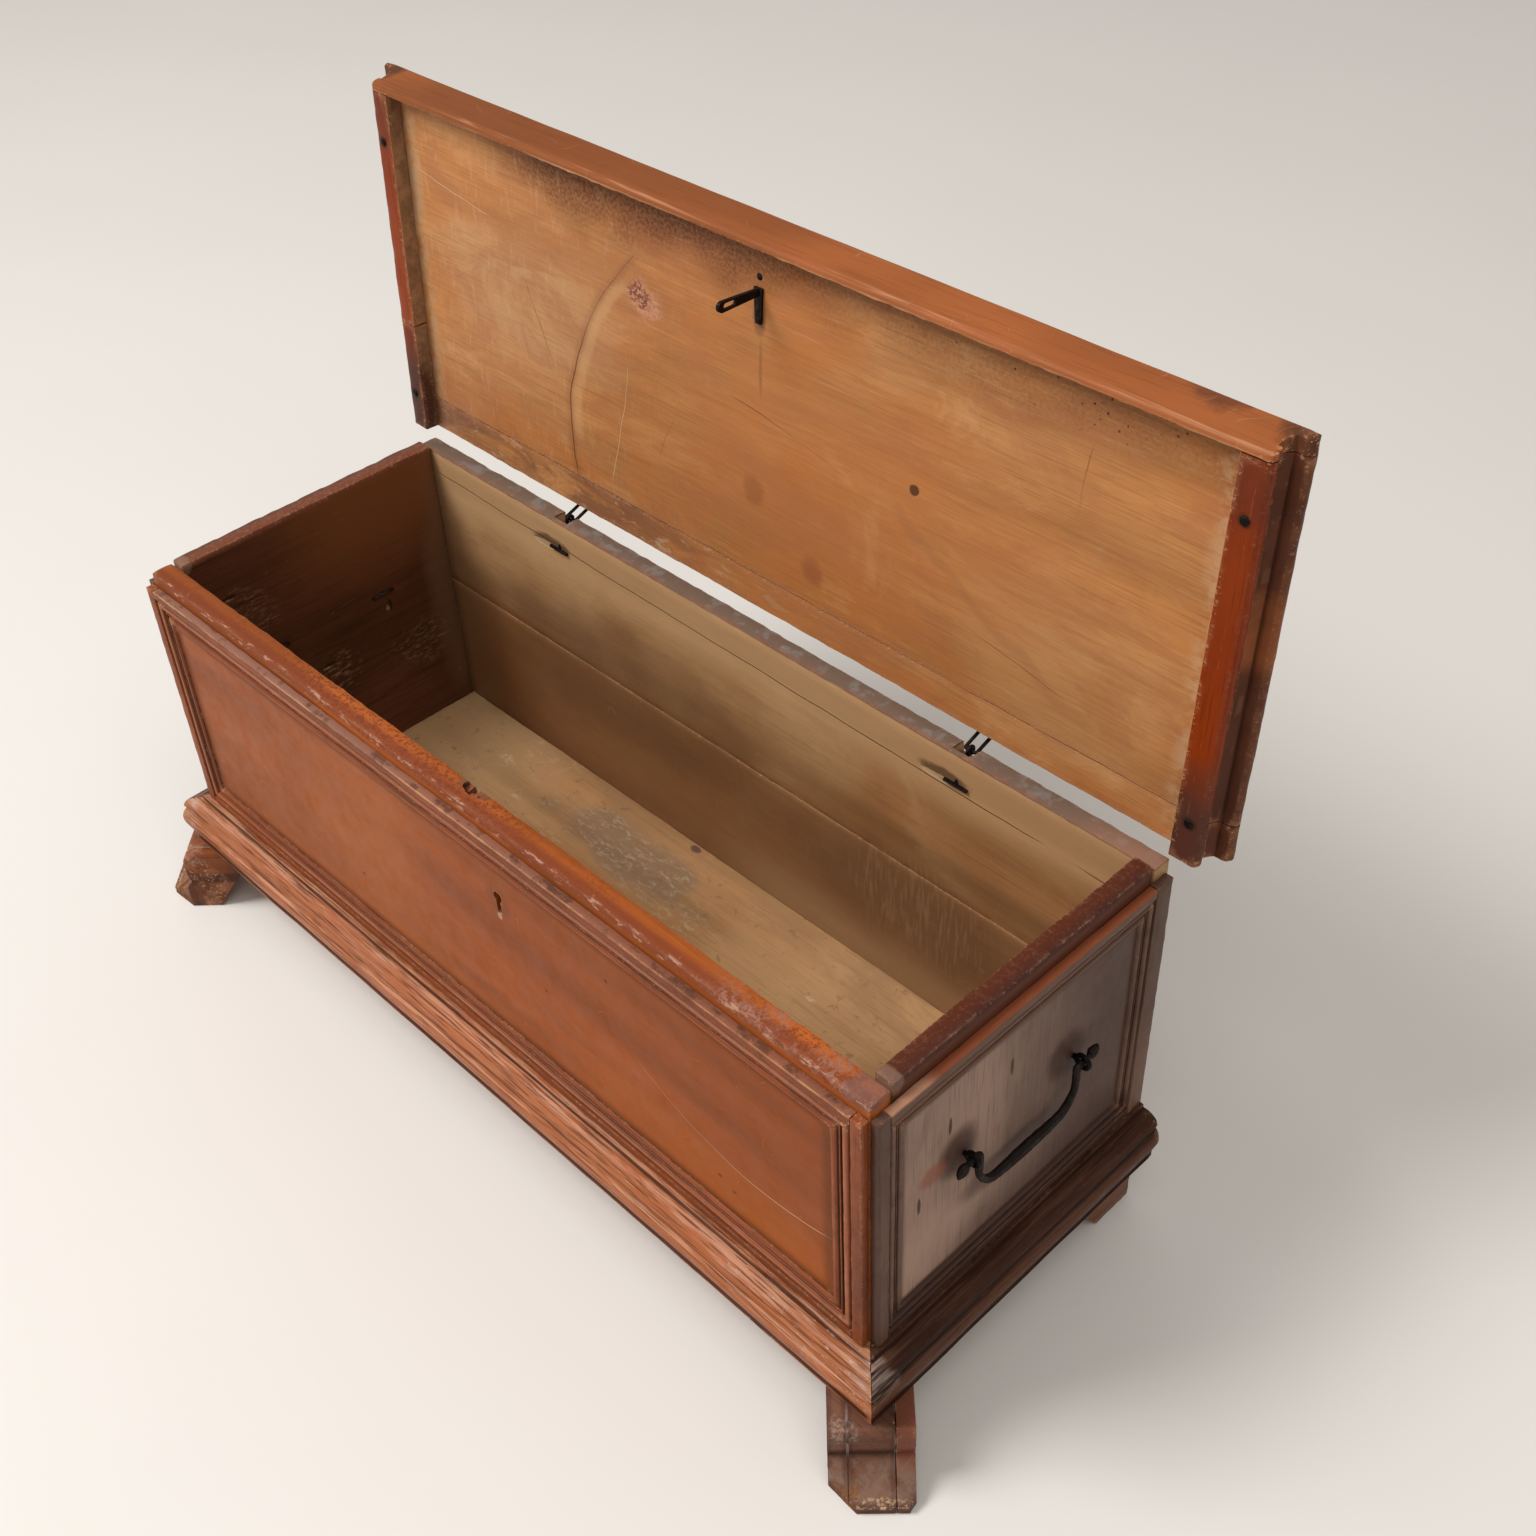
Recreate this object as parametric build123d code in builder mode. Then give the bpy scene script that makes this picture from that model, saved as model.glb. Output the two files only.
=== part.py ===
"""Walnut cassone with a leaning lid, iron drop handles, snipe hinges, a hasp and a lock.

Millimetres, +Z up, floor at z = 0, the front faces -Y and +X is to the right of someone facing it.
"""
import os
from math import cos, radians, sin, sqrt

from build123d import *

os.makedirs("parts", exist_ok=True)

# ---------------------------------------------------------------- carcass sizes
carcass_length = 1150.0
carcass_depth = 410.0
base_height = 88.0
front_board_height = 418.0
front_board_thickness = 29.0
side_board_rise = 6.0
side_board_thickness = 24.0
back_board_drop = 5.5
back_board_thickness = 18.0
back_lower_height = 216.0
seam_gap = 0.6
floor_thickness = 18.0
floor_inset = 8.5
floor_front_share = 0.55

# ---------------------------------------------------------------- applied frames and panels
frame_thickness = 10.6
panel_thickness = 5.3
ledge_drop = 15.3
front_stile_width = 14.0
front_top_rail_width = 10.7
bottom_rail_width = 11.0
front_bead_width = 27.0
side_front_stile_width = 16.0
side_rear_stile_width = 24.0
side_top_rail_width = 12.7
side_bead_width = 20.0
bead_fillet_height = 2.2
bead_quirk_share = 0.1
bead_round_share = 0.42
bead_inner_share = 0.68
bead_crest = 4.6
bead_inner_crest = 3.4

# ---------------------------------------------------------------- plinth moulding
plinth_height = 72.0
plinth_fillet_reach = 14.0
plinth_fillet_drop = 4.0
plinth_torus_reach = 34.0
plinth_torus_drop = 20.0
plinth_groove_reach = 32.0
plinth_groove_drop = 22.0
plinth_nose_reach = 37.5
plinth_nose_drop = 33.0
plinth_crack_reach = 30.0
plinth_crack_drop = 58.0
plinth_crack_width = 2.0
plinth_lip_reach = 32.0

# ---------------------------------------------------------------- feet
foot_width = 86.0
foot_core_width = 46.0
foot_heel_reach = -30.0
foot_heel_floor_reach = 18.0
foot_heel_share = 0.8
foot_heel_curve_reach = -4.0
foot_heel_curve_share = 0.42
foot_shoulder_reach = 53.0
foot_shoulder_round = 9.0
foot_waist_height = 42.0
foot_toe_reach = 88.0
foot_toe_height = 10.0
foot_sweep_share = 0.45
foot_corner_cut_across = 27.0
foot_corner_cut_along = 30.0
foot_corner_bevel = 6.0
rear_foot_length = 86.0
rear_foot_width = 60.0
rear_foot_curve = 30.0

# ---------------------------------------------------------------- lid sizes
lid_lean_angle = 93.0
hinge_setback = 2.0
hinge_below_rim = 6.6
lid_rest_gap = 0.5
batten_side_clearance = 1.5
batten_width = 31.5
skirt_clearance = 2.2
lid_thickness = 27.0
lid_rear_setback = 13.0
hinge_strip_width = 42.0
lip_front_reach = 38.6
lip_thickness = 8.6
lid_nose_overhang_side = 16.0
lid_nose_overhang_front = 9.5
lid_nose_height = 16.0
skirt_nose_height = 14.0
scotia_depth = 6.0
batten_rear_setback = 15.0
batten_joint_offset = 48.0

# ---------------------------------------------------------------- hinge loops
hinge_left_x = -302.0
hinge_right_x = 331.0
ring_wire_radius = 2.2
clevis_wire_radius = 2.0
hinge_clearance = 0.35
clevis_half_width = 7.5
hinge_notch_half_width = 12.0
hinge_notch_clearance = 1.2
wire_hole_clearance = 0.2
clench_below_rim = 34.0
clench_length = 15.0
clevis_leg_share = 0.4
clevis_bury = 22.0
clevis_bend_radius = 2.6

# ---------------------------------------------------------------- hasp and lock
hasp_x = 12.0
hasp_thickness = 4.0
hasp_inset = 22.3
hasp_arm_width = 8.0
hasp_end_width = 11.6
hasp_drop = 58.0
hasp_foot_length = 34.0
hasp_foot_taper = 4.0
hasp_plate_thickness = 3.0
hasp_eye_length = 24.0
hasp_eye_width = 6.6
hasp_eye_margin = 3.6
mortise_depth = 18.0
mortise_left_margin = 4.5
mortise_right_margin = 28.0
lock_plate_thickness = 2.5
lock_plate_overlap = 12.0
lock_plate_length = 112.0
lock_plate_height = 104.0
keyhole_x = 66.0
keyhole_below_rim = 104.0
keyhole_width = 13.0
keyhole_length = 31.0
keyhole_slot_width = 6.5
bolt_thickness = 4.4
bolt_height = 11.0
bolt_length = 62.0
guide_shares = (0.45, 0.85)
bolt_travel = 15.0
bolt_gap = 1.6
guide_bar = 3.0
guide_clearance = 0.4
key_pin_radius = 2.2
key_pin_length = 12.0

# ---------------------------------------------------------------- drop handles
handle_offset = -4.0
handle_half_span = 80.0
handle_eye_height = 340.0
handle_standoff = 12.0
handle_wire_radius = 4.2
handle_grip_radius = 6.6
handle_taper = 0.8
handle_drop = 55.0
handle_shoulder = 24.0
handle_arm_gap = 1.7
handle_end_bend = 5.2
handle_shoulder_bend = 14.0
handle_grip_bend = 18.0
eye_wire_radius = 2.8
eye_clearance = 0.35
eye_shank_radius = 3.0
eye_shank_relief = 0.2
eye_clench_length = 16.0
eye_clench_radius = 2.0
finial_gap = 1.8
finial_radius = 6.6
finial_length = 18.0
finial_tip_share = 0.75

# ---------------------------------------------------------------- nails
nail_head_radius = 3.6
nail_head_height = 1.1
nail_head_taper = 40.0
nail_shank_radius = 1.4
nail_shank_length = 14.0
nail_hole_clearance = 0.2
batten_nail_front = 27.0
batten_nail_rear = 62.0

# ---------------------------------------------------------------- derived positions
half_length = carcass_length / 2
half_depth = carcass_depth / 2
front_top = base_height + front_board_height
side_top = front_top + side_board_rise
back_top = front_top - back_board_drop
ledge = front_top - ledge_drop
plinth_top = base_height + plinth_height
keyhole_height = front_top - keyhole_below_rim

lid_under = side_top + lid_rest_gap
lid_top = lid_under + lid_thickness
skirt_bottom = ledge + skirt_clearance
lip_outer = half_depth + lip_front_reach
lip_inner = lip_outer - lip_thickness
nose_front = lip_outer + lid_nose_overhang_front
batten_inner = half_length + batten_side_clearance
batten_outer = batten_inner + batten_width
nose_side = batten_outer + lid_nose_overhang_side
hinge_height = front_top - hinge_below_rim

lean = radians(lid_lean_angle)
toe_across = foot_width / 2 - foot_corner_cut_across
front_reach = half_depth + (foot_toe_reach + toe_across) / sqrt(2)
nose_radius = lid_nose_height / 2
lean_run = nose_front + half_depth + hinge_setback - nose_radius
lean_rise = lid_top - hinge_height - nose_radius
back_reach = half_depth + hinge_setback - lean_run * cos(lean) + lean_rise * sin(lean) + nose_radius
middle = (front_reach - back_reach) / 2

front = middle - half_depth
back = middle + half_depth
hinge_y = back + hinge_setback
lid_rear = back - lid_rear_setback


def save(part, label):
    """Name one sub-part and write its STEP file."""
    part.label = label
    export_step(part, f"parts/{label}.step")


def block(x0, x1, y0, y1, z0, z1):
    """Square-cut length of timber between two opposite corners."""
    with BuildPart() as solid:
        with BuildSketch(Plane(origin=((x0 + x1) / 2, (y0 + y1) / 2, z0))):
            Rectangle(x1 - x0, y1 - y0)
        extrude(amount=z1 - z0)
    return solid.part


def rod(start, end, radius):
    """Round bar from one point to another."""
    run = Vector(*end) - Vector(*start)
    with BuildPart() as solid:
        with BuildSketch(Plane(origin=start, z_dir=run)):
            Circle(radius)
        extrude(amount=run.length)
    return solid.part


def outline(start, *steps):
    """Closed line from a start point; a step is the next corner, or an arc's middle and end."""
    with BuildLine() as path:
        here = start
        for step in steps:
            if isinstance(step[0], tuple):
                ThreePointArc(here, *step)
                here = step[1]
            else:
                Line(here, step)
                here = step
        Line(here, start)
    return path.line.edges()


def slab(plane, corners, thickness):
    """Flat piece of any outline laid on a plane."""
    with BuildPart() as solid:
        with BuildSketch(plane):
            make_face(outline(*corners))
        extrude(amount=thickness)
    return solid.part


def shaped(plane, section, half_run, cut_plane, cut, reach):
    """Moulding run both ways from its section and trimmed to a second outline."""
    with BuildPart() as solid:
        with BuildSketch(plane):
            make_face(outline(*section))
        extrude(amount=half_run, both=True)
        with BuildSketch(cut_plane):
            make_face(outline(*cut))
        extrude(amount=reach, mode=Mode.INTERSECT)
    return solid.part


def rectangle(a0, a1, b0, b1):
    """Corners of an upright rectangle."""
    return (a0, b0), (a1, b0), (a1, b1), (a0, b1)


def lean_back(part):
    """Turn a piece of the shut lid about the hinge line to where it leans open."""
    return part.rotate(Axis((0, hinge_y, hinge_height), (1, 0, 0)), -lid_lean_angle)


# ---------------------------------------------------------------- outer faces of the carcass
front_face = Plane(origin=(0, front, 0), x_dir=(1, 0, 0), z_dir=(0, -1, 0))
right_face = Plane(origin=(half_length, middle, 0), x_dir=(0, 1, 0), z_dir=(1, 0, 0))
left_face = Plane(origin=(-half_length, middle, 0), x_dir=(0, -1, 0), z_dir=(-1, 0, 0))

# ---------------------------------------------------------------- lock and hasp positions
board_inside = front + front_board_thickness
hasp_y = front + hasp_inset
hasp_tip = lid_under - hasp_drop
eye_middle = hasp_tip + hasp_eye_margin + hasp_eye_length / 2
pocket_left = hasp_x - hasp_thickness / 2 - bolt_travel - mortise_left_margin
pocket_right = lock_plate_length - lock_plate_overlap + pocket_left
pocket_top = eye_middle + hasp_eye_length / 2 + mortise_left_margin
plate_bottom = pocket_top - lock_plate_height
pocket_bottom = plate_bottom + lock_plate_overlap
pocket_back = board_inside - mortise_depth
keyhole_round = keyhole_height + (keyhole_length - keyhole_width) / 2
keyhole_foot = keyhole_height - keyhole_length / 2

# ---------------------------------------------------------------- carcass boards
keyhole_cut = slab(
    front_face.offset(frame_thickness),
    rectangle(keyhole_x - keyhole_slot_width / 2, keyhole_x + keyhole_slot_width / 2,
              keyhole_foot, keyhole_round),
    -frame_thickness - front_board_thickness,
) + rod((keyhole_x, front - frame_thickness, keyhole_round), (keyhole_x, board_inside, keyhole_round),
        keyhole_width / 2)
pocket_cut = block(pocket_left, pocket_right, pocket_back, board_inside, pocket_bottom, pocket_top)
notch_cut = block(hasp_x - hasp_thickness / 2 - mortise_left_margin, hasp_x + mortise_right_margin,
                  pocket_back, board_inside, pocket_top, front_top)
lock_nail_x = (pocket_left - lock_plate_overlap / 2, pocket_right + lock_plate_overlap / 2)
lock_nail_z = (plate_bottom + lock_plate_overlap / 2, pocket_top - lock_plate_overlap / 2)
lock_nail_spots = [(x, z) for x in lock_nail_x for z in lock_nail_z]


def nail(head, tip_direction, clearance=0.0):
    """Round-headed nail: the head sits on the surface point and the shank runs inwards."""
    inward = Vector(*tip_direction)
    point = Vector(*head)
    shank = rod(tuple(point), tuple(point + inward * nail_shank_length),
                nail_shank_radius + clearance)
    if clearance:
        return shank
    top = point - inward * nail_head_height
    with BuildPart() as cap:
        with BuildSketch(Plane(origin=tuple(point), z_dir=tuple(top - point))):
            Circle(nail_head_radius)
        extrude(amount=nail_head_height, taper=nail_head_taper)
    return cap.part + shank


lock_plate_face = board_inside + lock_plate_thickness
front_board = block(-half_length, half_length, front, board_inside, base_height, front_top)
front_board -= keyhole_cut
front_board -= pocket_cut
front_board -= notch_cut
for x, z in lock_nail_spots:
    front_board -= nail((x, lock_plate_face, z), (0, -1, 0), nail_hole_clearance)
save(front_board, "front_board")

back_inside = back - back_board_thickness
back_seam = base_height + back_lower_height
save(block(-half_length, half_length, back_inside, back, base_height, back_seam), "back_board_lower")

ring_radius = clevis_wire_radius + hinge_clearance + ring_wire_radius
ring_outer = ring_radius + ring_wire_radius
leg_start = (hinge_y - ring_radius / sqrt(2), hinge_height - ring_radius / sqrt(2))
leg_end = (back_inside - ring_wire_radius, back_top - clench_below_rim)
upper_back = block(-half_length, half_length, back_inside, back, back_seam + seam_gap, back_top)
for x in (hinge_left_x, hinge_right_x):
    upper_back -= block(x - hinge_notch_half_width, x + hinge_notch_half_width,
                        hinge_y - ring_outer - hinge_notch_clearance, back,
                        hinge_height - ring_outer - hinge_notch_clearance, back_top)
    upper_back -= rod((x, *leg_start), (x, *leg_end), ring_wire_radius + wire_hole_clearance)
save(upper_back, "back_board_upper")

handle_eye_x = half_length + panel_thickness + handle_standoff
handle_y = middle + handle_offset
side_inner = half_length - side_board_thickness
floor_top = base_height + floor_inset + floor_thickness
floor_seam = board_inside + (back_inside - board_inside) * floor_front_share
for side, sign in (("left", -1), ("right", 1)):
    board = block(min(sign * side_inner, sign * half_length), max(sign * side_inner, sign * half_length),
                  board_inside, back_inside, base_height, side_top)
    for end in (-handle_half_span, handle_half_span):
        board -= rod((sign * side_inner, handle_y + end, handle_eye_height),
                     (sign * half_length, handle_y + end, handle_eye_height),
                     eye_shank_radius + wire_hole_clearance)
    save(board, f"{side}_side_board")

save(block(-side_inner, side_inner, board_inside, floor_seam, floor_top - floor_thickness, floor_top),
     "floor_board_front")
save(block(-side_inner, side_inner, floor_seam + seam_gap, back_inside, floor_top - floor_thickness,
           floor_top), "floor_board_rear")


# ---------------------------------------------------------------- applied frames, beads and panels
def bead(face, start, end, inward, width):
    """Double bead along one frame edge, mitred at both ends, running in towards the panel."""
    first = Vector(*start)
    last = Vector(*end)
    run = (last - first).normalized()
    inside = Vector(*inward)
    half_run = (last - first).length / 2
    centre = (first + last) / 2
    base = panel_thickness
    quirk = width * bead_quirk_share
    crest = width * bead_round_share
    inner = width * bead_inner_share
    step = (inner - crest) / 3
    floor = base + bead_fillet_height / 4
    section = (
        (0, 0), (width, 0), (width, base),
        (((inner + width) / 2, base + bead_inner_crest), (inner, floor)),
        (inner - step, floor), (inner - step, base + bead_fillet_height),
        (crest + step, base + bead_fillet_height), (crest + step, floor), (crest, floor),
        (((quirk + crest) / 2, base + bead_crest), (quirk, floor)),
        (0, floor),
    )
    spot = face.from_local_coords(centre)
    across = face.x_dir * inside.X + face.y_dir * inside.Y
    plane = Plane(origin=spot, x_dir=across, z_dir=across.cross(face.z_dir))
    corners = [first, last, last + (inside - run) * width, first + (inside + run) * width]
    return shaped(plane, section, half_run, face, [(p.X, p.Y) for p in corners], frame_thickness)


def applied_frame(name, face, first, last, stiles, top_rail, bead_width, joined):
    """Two stiles, two rails, the beads and the panel field of one face."""
    inner_first = first + stiles[0]
    inner_last = last - stiles[1]
    inner_top = ledge - top_rail
    inner_foot = plinth_top + bottom_rail_width
    members = {
        "stile_a": rectangle(first, inner_first, plinth_top, ledge),
        "stile_b": rectangle(inner_last, last, plinth_top, ledge),
        "top_rail": rectangle(inner_first, inner_last, inner_top, ledge),
        "bottom_rail": rectangle(inner_first, inner_last, plinth_top, inner_foot),
    }
    lengths = {
        "top": bead(face, (inner_first, inner_top), (inner_last, inner_top), (0, -1), bead_width),
        "bottom": bead(face, (inner_last, inner_foot), (inner_first, inner_foot), (0, 1), bead_width),
        "a": bead(face, (inner_first, inner_foot), (inner_first, inner_top), (1, 0), bead_width),
        "b": bead(face, (inner_last, inner_top), (inner_last, inner_foot), (-1, 0), bead_width),
    }
    field = slab(face, rectangle(inner_first + bead_width, inner_last - bead_width,
                                 inner_foot + bead_width, inner_top - bead_width), panel_thickness)
    for key, corners in members.items():
        save(slab(face, corners, frame_thickness), f"{name}_{stile_names[name].get(key, key)}")
    if joined:
        save(lengths["top"] + lengths["bottom"] + lengths["a"] + lengths["b"], f"{name}_bead_frame")
    else:
        for key, length in lengths.items():
            save(length, f"{name}_bead_{bead_names.get(key, key)}")
    return field


stile_names = {
    "front": {"stile_a": "left_stile", "stile_b": "right_stile"},
    "right": {"stile_a": "front_stile", "stile_b": "rear_stile"},
    "left": {"stile_a": "rear_stile", "stile_b": "front_stile"},
}
bead_names = {"a": "left", "b": "right"}
field = applied_frame("front", front_face, -half_length, half_length,
                      (front_stile_width, front_stile_width), front_top_rail_width, front_bead_width,
                      False)
save(field - keyhole_cut, "front_panel")
for side, face, stiles in (
    ("right", right_face, (side_front_stile_width, side_rear_stile_width)),
    ("left", left_face, (side_rear_stile_width, side_front_stile_width)),
):
    field = applied_frame(side, face, -half_depth, half_depth, stiles, side_top_rail_width,
                          side_bead_width, True)
    for end in (-handle_half_span, handle_half_span):
        reach = face.z_dir.X * (half_length + panel_thickness)
        field -= rod((face.origin.X, handle_y + end, handle_eye_height),
                     (reach, handle_y + end, handle_eye_height), eye_shank_radius + wire_hole_clearance)
    save(field, f"{side}_panel")

# ---------------------------------------------------------------- plinth moulding
plinth_section = (
    (0, base_height), (plinth_lip_reach, base_height),
    (plinth_lip_reach, plinth_top - plinth_crack_drop - plinth_crack_width),
    (plinth_crack_reach, plinth_top - plinth_crack_drop - plinth_crack_width),
    (plinth_crack_reach, plinth_top - plinth_crack_drop),
    (plinth_torus_reach, plinth_top - plinth_crack_drop),
    ((plinth_nose_reach, plinth_top - plinth_nose_drop),
     (plinth_groove_reach, plinth_top - plinth_groove_drop)),
    (plinth_groove_reach, plinth_top - plinth_torus_drop),
    (plinth_torus_reach, plinth_top - plinth_torus_drop),
    (((plinth_torus_reach * 2 + plinth_fillet_reach) / 3 + plinth_fillet_drop / 2,
      plinth_top - (plinth_torus_drop + plinth_fillet_drop) / 2 + plinth_fillet_drop / 2),
     (plinth_fillet_reach, plinth_top - plinth_fillet_drop)),
    (plinth_fillet_reach, plinth_top), (0, plinth_top),
)
reach = plinth_nose_reach * 2
front_section_plane = Plane(origin=(0, front, 0), x_dir=(0, -1, 0), z_dir=(-1, 0, 0))
save(shaped(front_section_plane, plinth_section, half_length + reach, Plane.XY,
            ((-half_length, front), (half_length, front), (half_length + reach, front - reach),
             (-half_length - reach, front - reach)), plinth_top), "plinth_front")
for side, sign in (("right", 1), ("left", -1)):
    plane = Plane(origin=(sign * half_length, middle, 0), x_dir=(sign, 0, 0), z_dir=(0, -sign, 0))
    save(shaped(plane, plinth_section, half_depth + reach, Plane.XY,
                ((sign * half_length, front), (sign * (half_length + reach), front - reach),
                 (sign * (half_length + reach), back), (sign * half_length, back)), plinth_top),
         f"plinth_{side}")

# ---------------------------------------------------------------- front feet
foot_section = (
    (foot_heel_reach, base_height), (foot_heel_reach, base_height * foot_heel_share),
    ((foot_heel_curve_reach, base_height * foot_heel_curve_share), (foot_heel_floor_reach, 0)),
    (foot_toe_reach, 0), (foot_toe_reach, foot_toe_height),
    ((foot_shoulder_reach + (foot_toe_reach - foot_shoulder_reach) * foot_sweep_share,
      foot_toe_height + (foot_waist_height - foot_toe_height) * foot_sweep_share ** 2 * 2),
     (foot_shoulder_reach, foot_waist_height)),
    (foot_shoulder_reach, base_height - foot_shoulder_round),
    ((foot_shoulder_reach - foot_shoulder_round * (1 - cos(radians(45))),
      base_height - foot_shoulder_round * (1 - sin(radians(45)))),
     (foot_shoulder_reach - foot_shoulder_round, base_height)),
)
half_core = foot_core_width / 2
half_foot = foot_width / 2
foot_worn_reach = foot_toe_reach - foot_corner_cut_along * (half_core - toe_across) / foot_corner_cut_across
for side, sign in (("left", -1), ("right", 1)):
    forward = Vector(sign, -1, 0).normalized()
    rightwards = forward.cross(Vector(0, 0, 1))
    plane = Plane(origin=(sign * half_length, front, 0), x_dir=forward, z_dir=rightwards)
    plan = Plane(origin=(sign * half_length, front, 0), x_dir=forward, z_dir=(0, 0, 1))
    cut = -sign
    core_plan = (
        (foot_heel_reach, -cut * half_core), (foot_toe_reach, -cut * half_core),
        (foot_toe_reach, cut * toe_across), (foot_worn_reach, cut * half_core),
        (foot_heel_reach, cut * half_core),
    )
    core = shaped(plane, foot_section, foot_width, plan, core_plan, base_height)
    save(core, f"front_{side}_foot_core")
    plain_cheek = (
        (foot_heel_reach, -cut * half_core), (foot_toe_reach, -cut * half_core),
        (foot_toe_reach, -cut * (half_foot - foot_corner_bevel)),
        (foot_toe_reach - foot_corner_bevel, -cut * half_foot), (foot_heel_reach, -cut * half_foot),
    )
    worn_cheek = (
        (foot_heel_reach, cut * half_core), (foot_worn_reach, cut * half_core),
        (foot_toe_reach - foot_corner_cut_along, cut * half_foot), (foot_heel_reach, cut * half_foot),
    )
    save(shaped(plane, foot_section, foot_width, plan, plain_cheek, base_height)
         + shaped(plane, foot_section, foot_width, plan, worn_cheek, base_height),
         f"front_{side}_foot_cheeks")

# ---------------------------------------------------------------- rear feet
for side, sign in (("left", -1), ("right", 1)):
    outer = sign * (half_length + frame_thickness)
    plane = Plane(origin=(outer, 0, 0), x_dir=(0, 1, 0), z_dir=(1, 0, 0))
    save(slab(plane, (
        (back, 0), (back, base_height), (back - rear_foot_length, base_height),
        (back - rear_foot_length, base_height - rear_foot_curve),
        ((back - rear_foot_length + rear_foot_curve / 3, base_height / 3),
         (back - rear_foot_length + rear_foot_curve, 0)),
    ), -sign * rear_foot_width), f"rear_{side}_foot")

# ---------------------------------------------------------------- lid, drawn shut and leaned back
nose_under = lid_top - lid_nose_height
skirt_step = skirt_bottom + skirt_nose_height
skirt_round = skirt_nose_height / 2
lip_plane = middle - lip_inner
batten_section = (
    (batten_inner, skirt_bottom), (batten_outer - skirt_round, skirt_bottom),
    ((batten_outer, skirt_bottom + skirt_round), (batten_outer - skirt_round / 3, skirt_step)),
    (batten_outer - scotia_depth, skirt_step), (batten_outer - scotia_depth, lid_under),
    (batten_inner, lid_under),
)
board_section = (
    (0, lid_under), (batten_outer - scotia_depth, lid_under),
    ((batten_outer - scotia_depth / 2, (lid_under + nose_under * 2) / 3), (batten_outer, nose_under)),
    (nose_side - nose_radius, nose_under),
    ((nose_side, nose_under + nose_radius), (nose_side - nose_radius, lid_top)), (0, lid_top),
)
edge_section = (
    (0, skirt_bottom), (batten_outer - skirt_round, skirt_bottom),
    ((batten_outer, skirt_bottom + skirt_round), (batten_outer - skirt_round / 3, skirt_step)),
    (batten_outer - scotia_depth, skirt_step), *board_section[1:],
)
nose_reach = nose_front - lip_inner
easing = 1 - sqrt(0.5)
lip_section = (
    (0, skirt_bottom), (lip_thickness - skirt_round, skirt_bottom),
    ((lip_thickness - skirt_round * easing, skirt_bottom + skirt_round * easing),
     (lip_thickness, skirt_bottom + skirt_round)),
    (nose_reach, lid_top - nose_radius),
    ((nose_reach - nose_radius * easing, lid_top - nose_radius * easing),
     (nose_reach - nose_radius, lid_top)), (0, lid_top),
)
strip_seam = lid_rear - hinge_strip_width
batten_rear = back - batten_rear_setback
leg_height = lid_under + lid_thickness * clevis_leg_share


def two_ended(section, y0, y1):
    """Length across the whole lid whose two ends carry the same edge moulding."""
    with BuildPart() as solid:
        with BuildSketch(Plane(origin=(0, y0, 0), x_dir=(1, 0, 0), z_dir=(0, -1, 0))):
            make_face(outline(*section))
            mirror(about=Plane.YZ)
        extrude(amount=y0 - y1)
    return solid.part


def batten(sign, y0, y1):
    """Skirt under one end of the lid, outside the chest's side."""
    with BuildPart() as solid:
        with BuildSketch(Plane(origin=(0, y0, 0), x_dir=(1, 0, 0), z_dir=(0, -1, 0))):
            make_face(outline(*batten_section))
            if sign < 0:
                mirror(about=Plane.YZ, mode=Mode.REPLACE)
        extrude(amount=y0 - y1)
    return solid.part


batten_nail_x = (batten_inner + batten_outer) / 2
batten_nail_y = (front + batten_nail_front, back - batten_nail_rear)
hasp_nail_y = (hasp_y + hasp_foot_length / 2, hasp_y + hasp_foot_length - hasp_arm_width / 2)
rim_nail_y = front + nail_head_radius * 2
lid_board = two_ended(board_section, lip_plane, strip_seam - seam_gap)
for y in (*hasp_nail_y, rim_nail_y):
    lid_board -= nail((hasp_x, y, lid_under), (0, 0, 1), nail_hole_clearance)
save(lean_back(lid_board), "lid_board")

strip = two_ended(board_section, strip_seam, lid_rear)
for x in (hinge_left_x, hinge_right_x):
    for leg in (-clevis_half_width, clevis_half_width):
        strip -= rod((x + leg, lid_rear, leg_height), (x + leg, lid_rear - clevis_bury, leg_height),
                     clevis_wire_radius + wire_hole_clearance)
save(lean_back(strip), "lid_hinge_strip")

lip_section_plane = Plane(origin=(0, lip_plane, 0), x_dir=(0, -1, 0), z_dir=(-1, 0, 0))
with BuildPart() as lip:
    with BuildSketch(lip_section_plane):
        make_face(outline(*lip_section))
    extrude(amount=nose_side, both=True)
    with BuildSketch(Plane(origin=(0, lip_plane, 0), x_dir=(1, 0, 0), z_dir=(0, -1, 0))):
        make_face(outline(*edge_section))
        mirror(about=Plane.YZ)
    extrude(amount=nose_reach, mode=Mode.INTERSECT)
save(lean_back(lip.part), "lid_front_lip")

batten_joint = middle + batten_joint_offset
for label, sign, y0, y1 in (
    ("lid_right_batten", 1, lip_plane, batten_rear),
    ("lid_left_batten_front", -1, lip_plane, batten_joint),
    ("lid_left_batten_rear", -1, batten_joint + seam_gap, batten_rear),
):
    piece = batten(sign, y0, y1)
    for y in batten_nail_y:
        piece -= nail((sign * batten_nail_x, y, skirt_bottom), (0, 0, 1), nail_hole_clearance)
    save(lean_back(piece), label)

nails = [nail((sign * batten_nail_x, y, skirt_bottom), (0, 0, 1))
         for sign in (-1, 1) for y in batten_nail_y]
save(lean_back(Compound(children=nails)), "batten_nails")

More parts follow.
